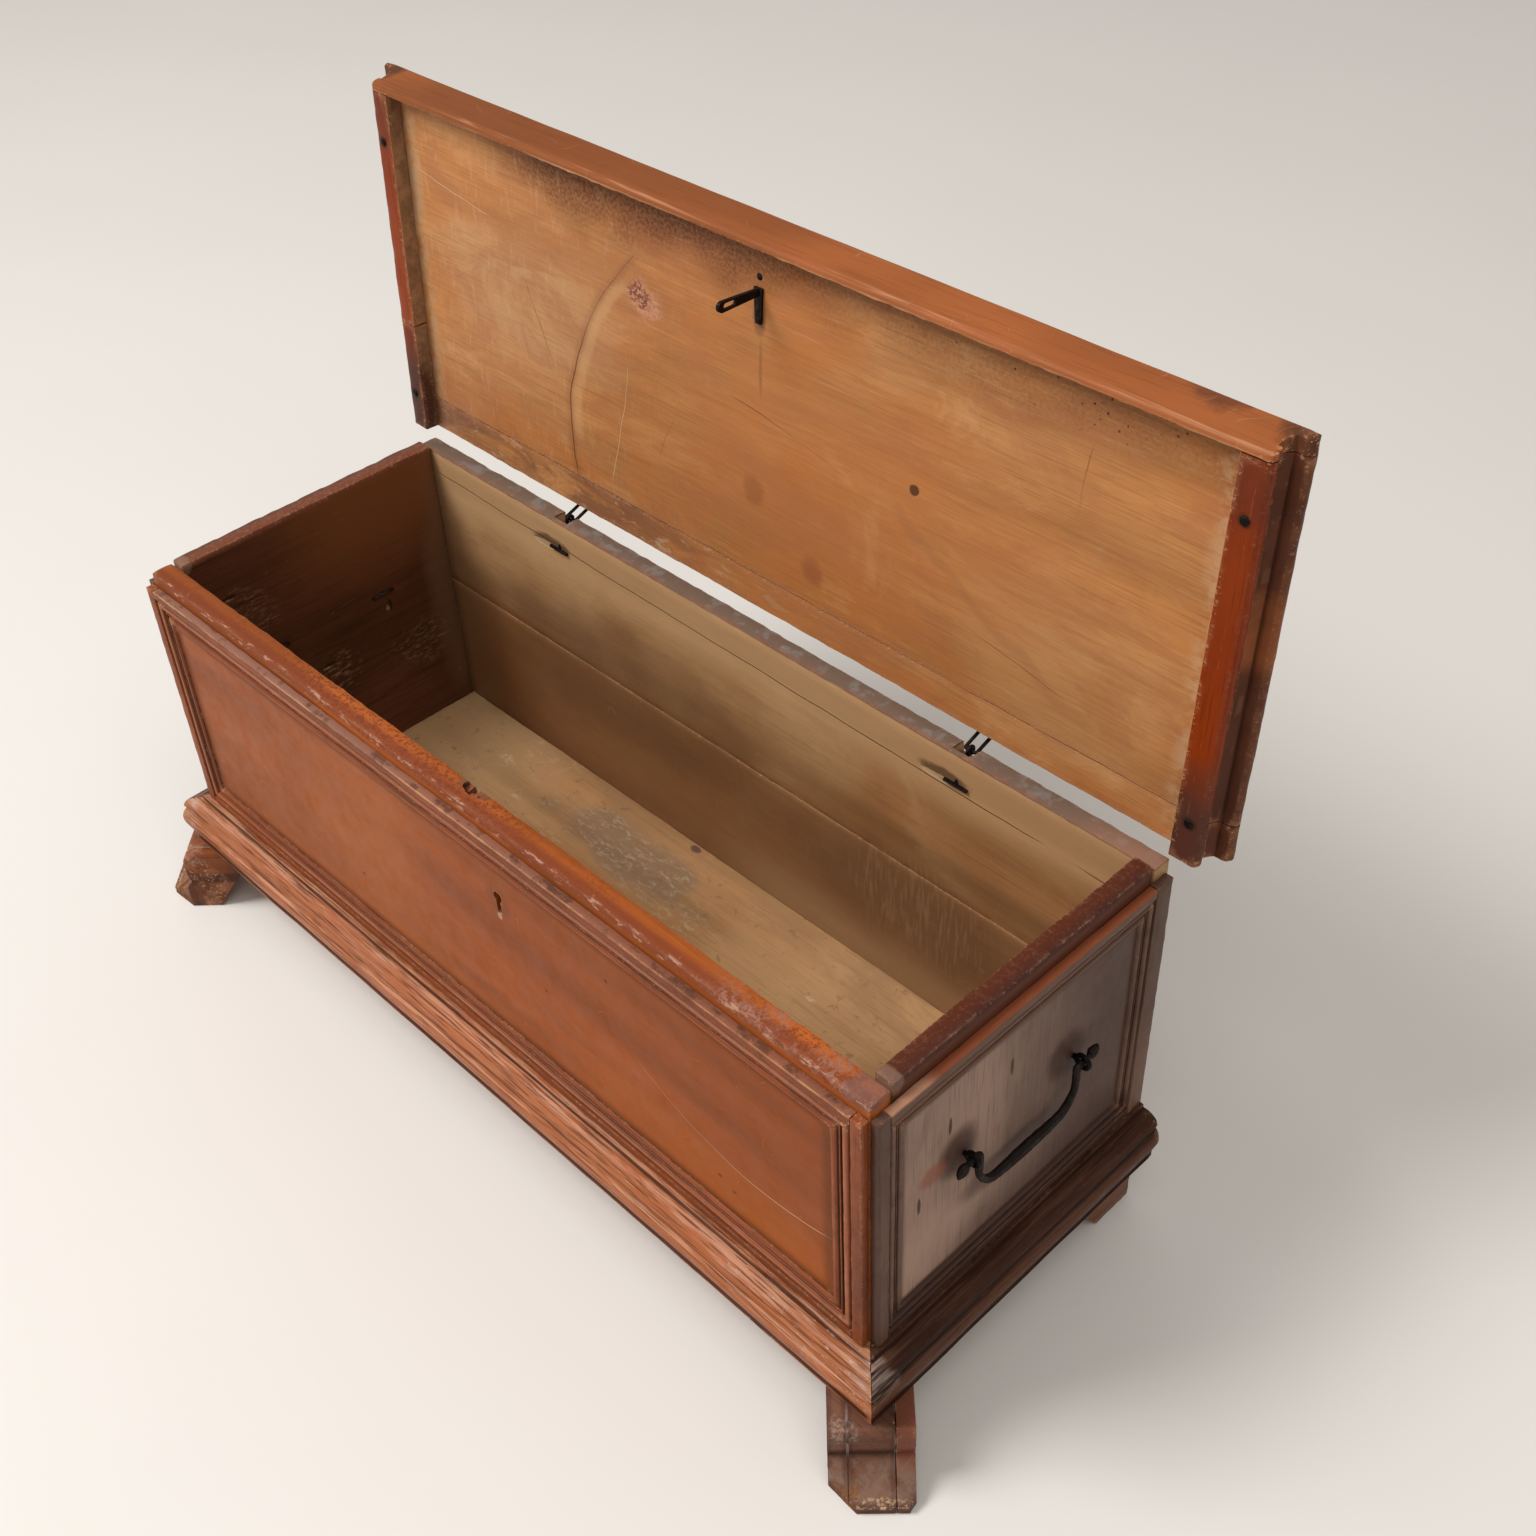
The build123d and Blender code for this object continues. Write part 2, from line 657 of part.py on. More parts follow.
# ---------------------------------------------------------------- hasp
plate_under = lid_under - hasp_plate_thickness
with BuildPart() as hasp:
    with BuildSketch(Plane(origin=(hasp_x, 0, plate_under))):
        make_face(outline((-hasp_end_width / 2, hasp_y - hasp_arm_width / 2),
                          (hasp_end_width / 2, hasp_y - hasp_arm_width / 2),
                          (hasp_foot_taper, hasp_y + hasp_foot_length),
                          (-hasp_foot_taper, hasp_y + hasp_foot_length)))
    extrude(amount=hasp_plate_thickness)
    with BuildSketch(Plane(origin=(hasp_x - hasp_thickness / 2, 0, 0), x_dir=(0, 1, 0), z_dir=(1, 0, 0))):
        make_face(outline((hasp_y - hasp_arm_width / 2, plate_under),
                          (hasp_y - hasp_end_width / 2, hasp_tip + hasp_end_width / 2),
                          ((hasp_y, hasp_tip),
                           (hasp_y + hasp_end_width / 2, hasp_tip + hasp_end_width / 2)),
                          (hasp_y + hasp_arm_width / 2, plate_under)))
    extrude(amount=hasp_thickness)
    with BuildSketch(Plane(origin=(hasp_x - hasp_thickness, hasp_y, eye_middle), x_dir=(0, 0, 1),
                           z_dir=(1, 0, 0))):
        SlotOverall(hasp_eye_length - hasp_eye_margin * 2, hasp_eye_width)
    extrude(amount=hasp_thickness * 2, mode=Mode.SUBTRACT)
    for y in hasp_nail_y:
        add(nail((hasp_x, y, plate_under), (0, 0, 1), nail_hole_clearance), mode=Mode.SUBTRACT)
save(lean_back(hasp.part), "hasp")
hasp_pins = [nail((hasp_x, y, plate_under), (0, 0, 1)) for y in hasp_nail_y]
hasp_pins.append(nail((hasp_x, rim_nail_y, lid_under), (0, 0, 1)))
save(lean_back(Compound(children=hasp_pins)), "hasp_nails")

# ---------------------------------------------------------------- hinge loops
def bent_wire(points, bend, radius):
    """Round wire through a run of corners, each turned at one bend radius."""
    with BuildPart() as solid:
        with BuildLine() as path:
            FilletPolyline(*points, radius=bend)
        with BuildSketch(Plane(origin=path.line @ 0, z_dir=path.line % 0)):
            Circle(radius)
        sweep()
    return solid.part


rings = []
loops = []
for x in (hinge_left_x, hinge_right_x):
    ring = Pos(x, hinge_y, hinge_height) * Rot(Y=90) * Torus(ring_radius, ring_wire_radius)
    ring += rod((x, *leg_start), (x, *leg_end), ring_wire_radius)
    ring += rod((x - clench_length, *leg_end), (x + clench_length, *leg_end), ring_wire_radius)
    rings.append(ring)
    loops.append(bent_wire((
        (x - clevis_half_width, lid_rear - clevis_bury, leg_height),
        (x - clevis_half_width, lid_rear + clevis_bend_radius * 2, leg_height),
        (x - clevis_half_width, hinge_y, hinge_height), (x + clevis_half_width, hinge_y, hinge_height),
        (x + clevis_half_width, lid_rear + clevis_bend_radius * 2, leg_height),
        (x + clevis_half_width, lid_rear - clevis_bury, leg_height),
    ), clevis_bend_radius, clevis_wire_radius))
save(Compound(children=rings), "hinge_rings")
save(lean_back(Compound(children=loops)), "hinge_clevises")

# ---------------------------------------------------------------- lock
plate = block(pocket_left - lock_plate_overlap, pocket_right + lock_plate_overlap, board_inside,
              lock_plate_face, plate_bottom, pocket_top)
for x, z in lock_nail_spots:
    plate -= nail((x, lock_plate_face, z), (0, -1, 0), nail_hole_clearance)
save(plate, "lock_plate")
lock_pins = [nail((x, lock_plate_face, z), (0, -1, 0)) for x, z in lock_nail_spots]
save(Compound(children=lock_pins), "lock_nails")
save(rod((keyhole_x, board_inside, keyhole_round), (keyhole_x, board_inside - key_pin_length, keyhole_round),
         key_pin_radius), "key_pin")

bolt_start = hasp_x + hasp_thickness / 2 + bolt_gap
bolt_half = (bolt_thickness / 2, bolt_height / 2)
save(block(bolt_start, bolt_start + bolt_length, hasp_y - bolt_half[0], hasp_y + bolt_half[0],
           eye_middle - bolt_half[1], eye_middle + bolt_half[1]), "lock_bolt")
guides = []
for share in guide_shares:
    x = bolt_start + bolt_length * share
    hole = (bolt_half[0] + guide_clearance, bolt_half[1] + guide_clearance)
    guide = block(x, x + guide_bar, hasp_y - hole[0] - guide_bar, board_inside,
                  eye_middle - hole[1] - guide_bar, eye_middle + hole[1] + guide_bar)
    guides.append(guide - block(x, x + guide_bar, hasp_y - hole[0], hasp_y + hole[0],
                                eye_middle - hole[1], eye_middle + hole[1]))
save(Compound(children=guides), "lock_guides")

# ---------------------------------------------------------------- drop handles
eye_radius = handle_wire_radius + eye_clearance + eye_wire_radius
grip_z = handle_eye_height - handle_drop
arm = handle_half_span - eye_wire_radius - handle_arm_gap - handle_wire_radius
finial_start = handle_half_span + eye_wire_radius + finial_gap
grip_half = arm - handle_shoulder
for side, sign in (("left", -1), ("right", 1)):
    x = sign * handle_eye_x
    path = [(x, handle_y + y, z) for y, z in (
        (-finial_start - finial_radius, handle_eye_height), (-arm, handle_eye_height),
        (-arm, grip_z + handle_shoulder), (-grip_half, grip_z), (grip_half, grip_z),
        (arm, grip_z + handle_shoulder), (arm, handle_eye_height),
        (finial_start + finial_radius, handle_eye_height),
    )]
    bends = (handle_end_bend, handle_shoulder_bend, handle_grip_bend)
    bail = bent_wire(path, [*bends, *reversed(bends)], handle_wire_radius)
    with BuildPart() as grip:
        with BuildSketch(Plane(origin=(x, handle_y, grip_z), x_dir=(0, 1, 0), z_dir=(1, 0, 0))):
            make_face(outline(
                (-grip_half, 0), (-grip_half, handle_wire_radius * handle_taper),
                ((0, handle_grip_radius), (grip_half, handle_wire_radius * handle_taper)),
                (grip_half, 0)))
        revolve(axis=Axis((x, handle_y, grip_z), (0, 1, 0)))
    bail += grip.part
    for end in (-1, 1):
        with BuildPart() as finial:
            with BuildSketch(Plane(origin=(x, handle_y, handle_eye_height), x_dir=(0, end, 0),
                                   z_dir=(end, 0, 0))):
                make_face(outline(
                    (finial_start, 0), (finial_start, handle_wire_radius * handle_taper),
                    (finial_start + finial_length / 3, finial_radius),
                    (finial_start + finial_length * finial_tip_share, finial_radius * finial_tip_share),
                    (finial_start + finial_length, 0)))
            revolve(axis=Axis((x, handle_y, handle_eye_height), (0, 1, 0)))
        bail += finial.part
    save(bail, f"{side}_bail")
    eyes = []
    shank_start = sign * (handle_eye_x - eye_radius)
    shank_end = sign * (side_inner - eye_clench_radius)
    for y in (handle_y - handle_half_span, handle_y + handle_half_span):
        eye = Pos(x, y, handle_eye_height) * Rot(X=90) * Torus(eye_radius, eye_wire_radius)
        eye += rod((shank_start, y, handle_eye_height), (shank_end, y, handle_eye_height),
                   eye_shank_radius - eye_shank_relief)
        eye += rod((shank_end, y - eye_clench_length, handle_eye_height),
                   (shank_end, y + eye_clench_length, handle_eye_height), eye_clench_radius)
        eyes.append(eye)
    save(Compound(children=eyes), f"{side}_handle_eyes")
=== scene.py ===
"""Walnut cassone with a leaning lid, iron drop handles, loop hinges, a hasp and a lock.

Laid out as an add-on: sizes, colours and the stage are property groups, each group of like pieces is one
operator, and main() calls the operators in order. Metres, +Z up, floor at z = 0, the front faces -Y.
"""

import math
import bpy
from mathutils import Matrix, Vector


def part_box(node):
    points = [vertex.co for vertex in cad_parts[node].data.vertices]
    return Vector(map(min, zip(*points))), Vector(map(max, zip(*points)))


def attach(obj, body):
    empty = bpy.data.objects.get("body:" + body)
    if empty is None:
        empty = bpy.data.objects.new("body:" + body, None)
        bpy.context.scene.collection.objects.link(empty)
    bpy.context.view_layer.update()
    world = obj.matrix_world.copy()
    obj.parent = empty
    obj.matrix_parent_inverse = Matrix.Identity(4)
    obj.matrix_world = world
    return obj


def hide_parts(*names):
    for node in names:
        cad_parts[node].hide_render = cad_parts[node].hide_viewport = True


bl_info = {
    "name": "Walnut Cassone",
    "version": (1, 0, 0),
    "blender": (4, 5, 0),
    "location": "View3D > Sidebar > Cassone",
    "description": "Builds the worn walnut and iron pieces of a cassone around its CAD frame",
    "category": "Add Mesh",
}

import bmesh
import bpy
from mathutils import Matrix, Vector

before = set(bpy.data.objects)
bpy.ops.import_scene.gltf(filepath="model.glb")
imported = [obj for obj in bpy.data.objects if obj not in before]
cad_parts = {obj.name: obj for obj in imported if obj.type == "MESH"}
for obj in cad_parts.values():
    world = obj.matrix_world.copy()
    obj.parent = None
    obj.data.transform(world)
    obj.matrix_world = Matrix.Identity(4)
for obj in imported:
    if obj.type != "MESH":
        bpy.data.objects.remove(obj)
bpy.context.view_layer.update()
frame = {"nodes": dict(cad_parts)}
HALF_LENGTH = 0.575  # half of the carcass's length
HASP_X = 0.012  # middle of the hasp
KEYHOLE_RADIUS = 0.0065
SLOT_HALF = 0.00325  # half of the width of the slot under the keyhole
SLOT_DROP = 0.0245  # how far that slot reaches down
RIM_CLEARANCE = 0.0014  # how far the side boards' tops are lowered, to clear the shut lid
RING_X = (-0.302, 0.331)  # notches for the hinge rings in the back board
CLENCH_X = (-0.317, 0.316)  # stains where the rings' legs come out inside
NAIL_Y = (-0.174, 0.147)  # nails in the battens
FINE = True  # edge of a patch: finely broken instead of wavy


# ------------------------------------------------------------------ properties
def colour(name, description, value):
    return bpy.props.FloatVectorProperty(
        name=name, description=description, default=value, subtype="COLOR", size=3, min=0, max=1)


def length(name, description, value):
    return bpy.props.FloatProperty(name=name, description=description, default=value, unit="LENGTH",
                                   subtype="DISTANCE")


class LidSizes(bpy.types.PropertyGroup):
    """Sizes of the lid, given with the lid shut."""
    lean: bpy.props.FloatProperty(name="Lean", description="How far the lid is turned open",
                                  default=math.radians(93), subtype="ANGLE")
    hinge_y: length("Hinge line y", "Depth at which the lid turns", 0.210911)
    hinge_z: length("Hinge line z", "Height at which the lid turns", 0.4994)
    under: length("Underside", "Height of the board's underside", 0.5125)
    top: length("Top", "Height of the board's top", 0.5395)
    skirt: length("Skirt", "Height of the skirt's lower edge", 0.4929)
    batten_inner: length("Batten inside", "Inner face of the end battens", 0.5765)
    batten_outer: length("Batten outside", "Outer face of the end battens", 0.608)
    nose_side: length("Side nose", "Reach of the moulded edge at the ends", 0.624)
    lip_inner: length("Lip inside", "Inner face of the front lip", -0.231089)
    lip_outer: length("Lip outside", "Outer face of the front lip", -0.239689)
    nose_front: length("Front nose", "Reach of the moulded edge in front", -0.249189)
    strip_seam: length("Hinge strip seam", "Joint between the board and the hinge strip", 0.153911)
    rear: length("Rear edge", "Rear edge of the lid", 0.195911)
    batten_joint: length("Batten joint", "Where the left batten's two lengths meet", 0.051911)
    batten_rear: length("Batten end", "Rear end of the battens", 0.193911)


class WalnutColours(bpy.types.PropertyGroup):
    """Colours of the timber faces."""
    panel: colour("Front panel", "Warm face of the front panel", (0.34, 0.072, 0.005))
    frame: colour("Frames", "Stiles, rails and beads", (0.25, 0.060, 0.018))
    # Dark brown for grime; age() also lays it into every hollow as painted shade.
    grime_and_shade: colour("Grime", "Old polish gathered in the quirks", (0.035, 0.013, 0.008))
    worn: colour("Wear", "Bare timber along rubbed arrises", (0.50, 0.27, 0.15))
    plinth: colour("Plinth", "Base moulding", (0.37, 0.112, 0.040))
    rubbed: colour("Rubbed crest", "Pinkish dust and wear on the mouldings", (0.46, 0.27, 0.20))
    foot: colour("Feet", "Splayed front feet", (0.255, 0.074, 0.026))
    # Grey-brown from dust, with a painted sheen: the greyish reflection on the ends is laid into this
    # colour.
    side: colour("Ends", "Dusty grey-brown end panels", (0.32, 0.200, 0.146))
    lid_edge: colour("Lid edge", "Polished edge of the lid", (0.36, 0.105, 0.030))
    lid_inside: colour("Lid inside", "Bare inside of the lid", (0.56, 0.24, 0.080))
    lid_orange: colour("Lid stain", "Warmer areas of the lid's inside", (0.49, 0.170, 0.046))
    back_inside: colour("Back board", "Bare inside of the back", (0.46, 0.215, 0.080))
    floor_inside: colour("Bottom boards", "Pale bottom of the chest", (0.44, 0.23, 0.098))
    # Very dark inner colour; on the left end it is painted shade, as that face turns away from the light.
    dark_inside: colour("Inner ends", "Smoked inner faces of the ends", (0.105, 0.038, 0.017))


class IronColours(bpy.types.PropertyGroup):
    """Colours of the forged iron."""
    iron: colour("Iron", "Blackened wrought iron", (0.006, 0.004, 0.0035))
    rust: colour("Rust", "Thin brown rust", (0.024, 0.009, 0.006))
    # Painted highlight laid along the iron's sharper edges.
    bright: colour("Rubbed iron", "Edges rubbed bright by hands", (0.060, 0.046, 0.042))


class StageSettings(bpy.types.PropertyGroup):
    """Floor, lights and camera."""
    floor: colour("Floor", "Plain pale floor", (0.78, 0.74, 0.69))
    sky: colour("Surroundings", "Plain pale surroundings", (0.95, 0.93, 0.90))
    sky_strength: bpy.props.FloatProperty(name="Fill", description="Strength of the even fill light",
                                          default=0.44, min=0)
    key_watts: bpy.props.FloatProperty(name="Key", description="Power of the large soft key light",
                                       default=375, min=0)
    focal: bpy.props.FloatProperty(name="Lens", description="Focal length on a 36 mm sensor",
                                   default=43.76, subtype="DISTANCE_CAMERA")
    camera: bpy.props.FloatVectorProperty(name="Camera", description="Where the camera stands", size=3,
                                          default=(1.2493, -0.9244, 1.7306), subtype="TRANSLATION")
    azimuth: bpy.props.FloatProperty(name="Azimuth", description="Side from which the camera looks",
                                     default=math.radians(47.10), subtype="ANGLE")
    elevation: bpy.props.FloatProperty(name="Elevation", description="How far the camera looks down",
                                       default=math.radians(40.67), subtype="ANGLE")
    roll: bpy.props.FloatProperty(name="Roll", description="Tilt of the camera",
                                  default=math.radians(-2.69), subtype="ANGLE")


# ------------------------------------------------------------------ shader maths
class Value:
    """A socket that adds Math nodes, so that masks are written as ordinary sums and products."""

    def __init__(self, finish, socket):
        self.finish = finish
        self.socket = socket

    def math(self, operation, *terms):
        return self.finish.node("ShaderNodeMath", {"operation": operation}, dict(enumerate(terms)))

    def __add__(self, other):
        return self.math("ADD", self, other)

    def __sub__(self, other):
        return self.math("SUBTRACT", self, other)

    def __mul__(self, other):
        return self.math("MULTIPLY", self, other)

    def __rsub__(self, other):
        return self.math("SUBTRACT", other, self)

    def __abs__(self):
        return self.math("ABSOLUTE", self)

    def __pow__(self, other):
        return self.math("POWER", self, other)

    __radd__ = __add__
    __rmul__ = __mul__

    def over(self, low, high):
        """0 below low, 1 above high and smooth between; low may be the larger of the two."""
        ends = {"Value": self, "From Min": low, "From Max": high}
        return self.finish.node("ShaderNodeMapRange", {"interpolation_type": "SMOOTHSTEP"}, ends)


class Finish:
    """One material and the nodes that make it."""

    def __init__(self, name, turned=False):
        self.material = bpy.data.materials.new(name)
        self.material.use_nodes = True
        self.tree = self.material.node_tree
        self.shader = self.tree.nodes["Principled BSDF"]
        self.place = self.node("ShaderNodeTexCoord", {}, {}, "Object")
        if turned:
            lid = bpy.context.scene.lid_sizes
            hinge = Vector((0, lid.hinge_y, lid.hinge_z))
            shift = hinge - Matrix.Rotation(lid.lean, 3, "X") @ hinge
            self.place = self.node("ShaderNodeMapping", {}, {
                "Vector": self.place, "Location": shift, "Rotation": (lid.lean, 0, 0)})
        parts = self.node("ShaderNodeSeparateXYZ", {}, {0: self.place}).socket.node.outputs
        self.x, self.y, self.z = (Value(self, part) for part in parts)
        self.edge = self.node("ShaderNodeNewGeometry", {}, {}, "Pointiness")
        self.ripple = self.noise(13, 1, 0.5)
        self.mottle = self.noise(38, 3, 0.65)

    def node(self, kind, settings, sockets, output=0):
        """Add one node: its settings first, then the values or links of its sockets."""
        made = self.tree.nodes.new(kind)
        for key, value in settings.items():
            setattr(made, key, value)
        for key, value in sockets.items():
            if isinstance(value, Value):
                self.tree.links.new(value.socket, made.inputs[key])
            else:
                made.inputs[key].default_value = value
        return Value(self, made.outputs[output])

    def stretched(self, stretch, shift=(0, 0, 0)):
        return self.node("ShaderNodeMapping", {}, {
            "Vector": self.place, "Scale": stretch, "Location": shift})

    def noise(self, scale, detail=2, rough=0.5, bend=0, stretch=(1, 1, 1), shift=(0, 0, 0)):
        return self.node("ShaderNodeTexNoise", {}, {
            "Vector": self.stretched(stretch, shift), "Scale": scale, "Detail": detail,
            "Roughness": rough, "Distortion": bend})

    def cells(self, scale, shift=(0, 0, 0)):
        return self.node("ShaderNodeTexVoronoi", {}, {
            "Vector": self.stretched((1, 1, 1), shift), "Scale": scale})

    def mix(self, factor, first, second, blend="MIX"):
        """Colour that goes from the first to the second as the factor rises."""
        return self.node("ShaderNodeMix", {"data_type": "RGBA", "blend_type": blend},
                         {0: factor, 6: as_colour(first), 7: as_colour(second)}, 2)

    def scratches(self, scale, shift, turn, thin):
        """Fine broken hairlines that run one way."""
        lines = self.node("ShaderNodeTexNoise", {}, {
            "Vector": self.node("ShaderNodeMapping", {}, {
                "Vector": self.place, "Rotation": turn, "Scale": (1, 0.05, 1), "Location": shift}),
            "Scale": scale * 2.2, "Detail": 0})
        return abs(lines - 0.5).over(thin, 0) * self.mottle.over(0.55, 0.62)

    def crack(self, along, across, terms, width, low, high, wander=0.004):
        """Dark line whose place across follows a polynomial of the place along."""
        line = terms[0]
        for power, term in enumerate(terms[1:], 1):
            line = line + term * along ** power if power > 1 else line + term * along
        drift = (self.ripple - 0.5) * wander
        ends = along.over(low - 0.01, low + 0.01) * along.over(high + 0.01, high - 0.01)
        return abs(across - line + drift).over(width, width * 0.25) * ends

    def spot(self, centre, radii, soft=0.5, wobble=0.35, fine=False):
        """Patch with a wavy or finely broken edge; an axis whose radius is 0 isn't looked at."""
        total = 0
        for axis, middle, radius in zip((self.x, self.y, self.z), centre, radii):
            if radius:
                total = total + ((axis - middle) * (1 / radius)) ** 2
        total = total + ((self.mottle if fine else self.ripple) - 0.5) * wobble * 2
        return total.over(1, 1 - soft)

    def finish(self, base, rough, height, depth, strength=1.0):
        """Join colour, roughness and relief to the shader."""
        links = self.tree.links
        links.new(base.socket, self.shader.inputs["Base Color"])
        links.new(rough.socket, self.shader.inputs["Roughness"])
        relief = self.node("ShaderNodeBump", {}, {
            "Strength": strength, "Distance": depth, "Height": height})
        links.new(relief.socket, self.shader.inputs["Normal"])
        return self.material


def as_colour(value):
    return value if isinstance(value, Value) else (*value, 1)


GRAIN = {"x": (0.05, 1, 1), "y": (1, 0.05, 1), "z": (1, 1, 0.05)}
FINE_GRAIN = {"x": (0.02, 1, 1), "y": (1, 0.02, 1), "z": (1, 1, 0.02)}


def shade(tone, share):
    return tuple(part * share for part in tone)


def blend(first, second, share):
    return tuple(a + (b - a) * share for a, b in zip(first, second))


class Timber(Finish):
    """Old timber: figure, pores, faded and stained areas, rubbed arrises, and grime with painted shade in
    the quirks.
    """

    def __init__(self, name, grain, tone, seed, turned=False, contrast=0.45, fade=None,
                 figure=1.0):
        super().__init__(name, turned)
        self.colours = bpy.context.scene.walnut_colours
        shift = (seed * 1.7, seed * 2.3, seed * 3.1)
        self.shift = shift
        self.figure = self.noise(9, 2, 0.6, 0.9, GRAIN[grain], shift)
        self.streaks = self.noise(85, 3, 0.7, 0, GRAIN[grain], shift)
        self.pores = self.noise(620, 1, 0.6, 0, FINE_GRAIN[grain], shift)
        self.patches = self.noise(3.4, 2, 0.6, 0, (1, 1, 1), shift)
        self.speckle = self.noise(240, 2, 0.7, 0, (1, 1, 1), shift)
        dark = shade(tone, 1 - contrast)
        light = fade or shade(tone, 1 + contrast * 0.6)
        base = self.mix(self.figure.over(0.36, 0.68), tone, dark)
        base = self.mix(self.patches.over(0.42, 0.72) * 0.75, base, light)
        base = self.mix(self.streaks.over(0.52, 0.74) * (0.5 * figure), base, shade(dark, 0.7))
        base = self.mix(self.pores.over(0.57, 0.66) * (0.38 * figure), base, shade(dark, 0.42))
        self.base = self.mix(self.mottle.over(0.56, 0.74) * (0.25 * figure), base, shade(tone, 0.55))
        self.rough = self.mottle.over(0.2, 0.9) * 0.22 + 0.33
        self.height = self.streaks * 0.45 + self.mottle * 0.4
        self.shader.inputs["Specular IOR Level"].default_value = 0.11

    def layer(self, mask, tint, rough=0.0, raise_by=0.0):
        """Lay a colour over the timber where the mask is 1."""
        self.base = self.mix(mask, self.base, tint)
        if rough:
            self.rough = self.rough + mask * rough
        if raise_by:
            self.height = self.height + mask * raise_by

    def layers(self, *rows):
        """Lay several colours over one another; each row is what layer() takes."""
        for row in rows:
            self.layer(*row)

    def age(self, rub=0.6, chips=0.5, grime=0.8, marks=0.35, low=0.515, high=0.56):
        """Rubbed and chipped arrises, grime and painted shade in the quirks, and scratches."""
        colours = self.colours
        near_edge = self.edge.over(low, high)
        broken = self.mottle.over(0.40, 0.62)
        # Hollows darkened: grime together with painted shade.
        self.layer(self.edge.over(0.49, 0.46) * grime, colours.grime_and_shade, 0.2)
        self.layer(near_edge * broken * rub, blend(colours.lid_edge, colours.worn, 0.45), 0.08)
        self.layer(near_edge * self.speckle.over(0.56, 0.63) * chips, colours.worn, 0.25, -0.8)
        pale = self.scratches(13, self.shift, (0.3, 0.2, 0.9), 0.010)
        self.layer(pale * marks, colours.worn)

    def done(self, depth=0.0007, strength=0.5):
        return self.finish(self.base, self.rough, self.height, depth, strength)


# ------------------------------------------------------------------ mesh tools
def only(piece):
    """Make one object the whole selection."""
    if bpy.context.object and bpy.context.object.mode != "OBJECT":
        bpy.ops.object.mode_set(mode="OBJECT")
    bpy.ops.object.select_all(action="DESELECT")
    piece.select_set(True)
    bpy.context.view_layer.objects.active = piece


def settle():
    """Put the place, turn and scale of the selected object into its mesh."""
    bpy.ops.object.transform_apply(location=True, rotation=True, scale=True)


def edit_all(piece):
    """Open one object's mesh for editing, with all of it selected."""
    only(piece)
    bpy.ops.object.mode_set(mode="EDIT")
    bpy.ops.mesh.select_all(action="SELECT")


def apply(piece, kind, **settings):
    """Add one modifier and apply it."""
    only(piece)
    made = piece.modifiers.new(kind.title(), kind)
    for key, value in settings.items():
        setattr(made, key, value)
    bpy.ops.object.modifier_apply(modifier=made.name)


def grade(piece, steps):
    """Cut the long edges of a piece into short lengths, one axis at a time."""
    only(piece)
    bpy.ops.object.mode_set(mode="EDIT")
    bpy.ops.mesh.select_mode(type="EDGE")
    for axis, step in enumerate(steps):
        if not step:
            continue
        mesh = bmesh.from_edit_mesh(piece.data)
        spread = [v.co[axis] for v in mesh.verts]
        cuts = round((max(spread) - min(spread)) / step) - 1
        if cuts < 1:
            continue
        bpy.ops.mesh.select_all(action="DESELECT")
        for edge in mesh.edges:
            run = edge.verts[1].co - edge.verts[0].co
            edge.select_set(abs(run[axis]) > 0.8 * run.length)
        bmesh.update_edit_mesh(piece.data)
        bpy.ops.mesh.subdivide(number_cuts=cuts)
    bpy.ops.object.mode_set(mode="OBJECT")


def join(pieces, name):
    """Make several objects one, and name it."""
    only(pieces[0])
    for piece in pieces[1:]:
        piece.select_set(True)
    bpy.ops.object.join()
    pieces[0].name = pieces[0].data.name = name
    return pieces[0]


def tidy_normals(piece):
    """Merge doubled points and turn all faces outwards."""
    edit_all(piece)
    bpy.ops.mesh.remove_doubles(threshold=0.00001)
    bpy.ops.mesh.normals_make_consistent(inside=False)
    bpy.ops.object.mode_set(mode="OBJECT")


def clouds(name, scale, depth=2, basis="BLENDER_ORIGINAL"):
    texture = bpy.data.textures.new(name, "CLOUDS")
    texture.noise_scale = scale
    texture.noise_depth = depth
    texture.noise_basis = basis
    return texture


def uneven(piece, name, size, strength):
    """Push the whole surface gently in and out."""
    apply(piece, "DISPLACE", texture=clouds(name, size, 1), strength=strength, mid_level=0.5,
          texture_coords="LOCAL")


def ease(piece, width, angle):
    """Round the arrises that are sharper than an angle."""
    apply(piece, "BEVEL", width=width, segments=2, limit_method="ANGLE", angle_limit=angle)


def weather(piece, sag=0.0006, dents=0.0016, bruise=0.014):
    """Wood that moved with age: a slight unevenness, and arrises dented and rubbed away."""
    if dents:
        arris = piece.vertex_groups.new(name="arris")
        shape = bmesh.new()
        shape.from_mesh(piece.data)
        sharp = [v.index for v in shape.verts
                 if any(e.is_manifold and e.calc_face_angle() > 0.3 for e in v.link_edges)]
        shape.free()
        arris.add(sharp, 1.0, "REPLACE")
        apply(piece, "DISPLACE", texture=clouds("bruise", bruise, 3), vertex_group="arris",
              strength=dents, mid_level=0.85, texture_coords="LOCAL")
        piece.vertex_groups.clear()
    if sag:
        uneven(piece, "sag", 0.09, sag)


def board(name, low, high, step=0.008, rounding=0.0016, sag=0.0006, dents=0.0016):
    """Squared length of timber with eased, worn arrises."""
    low, high = Vector(low), Vector(high)
    bpy.ops.object.select_all(action="DESELECT")
    bpy.ops.mesh.primitive_cube_add(size=1, location=(low + high) / 2, scale=high - low)
    piece = bpy.context.object
    piece.name = piece.data.name = name
    settle()
    grade(piece, [step] * 3)
    ease(piece, rounding, 0.7)
    if dents or sag:
        weather(piece, sag, dents)
    return piece


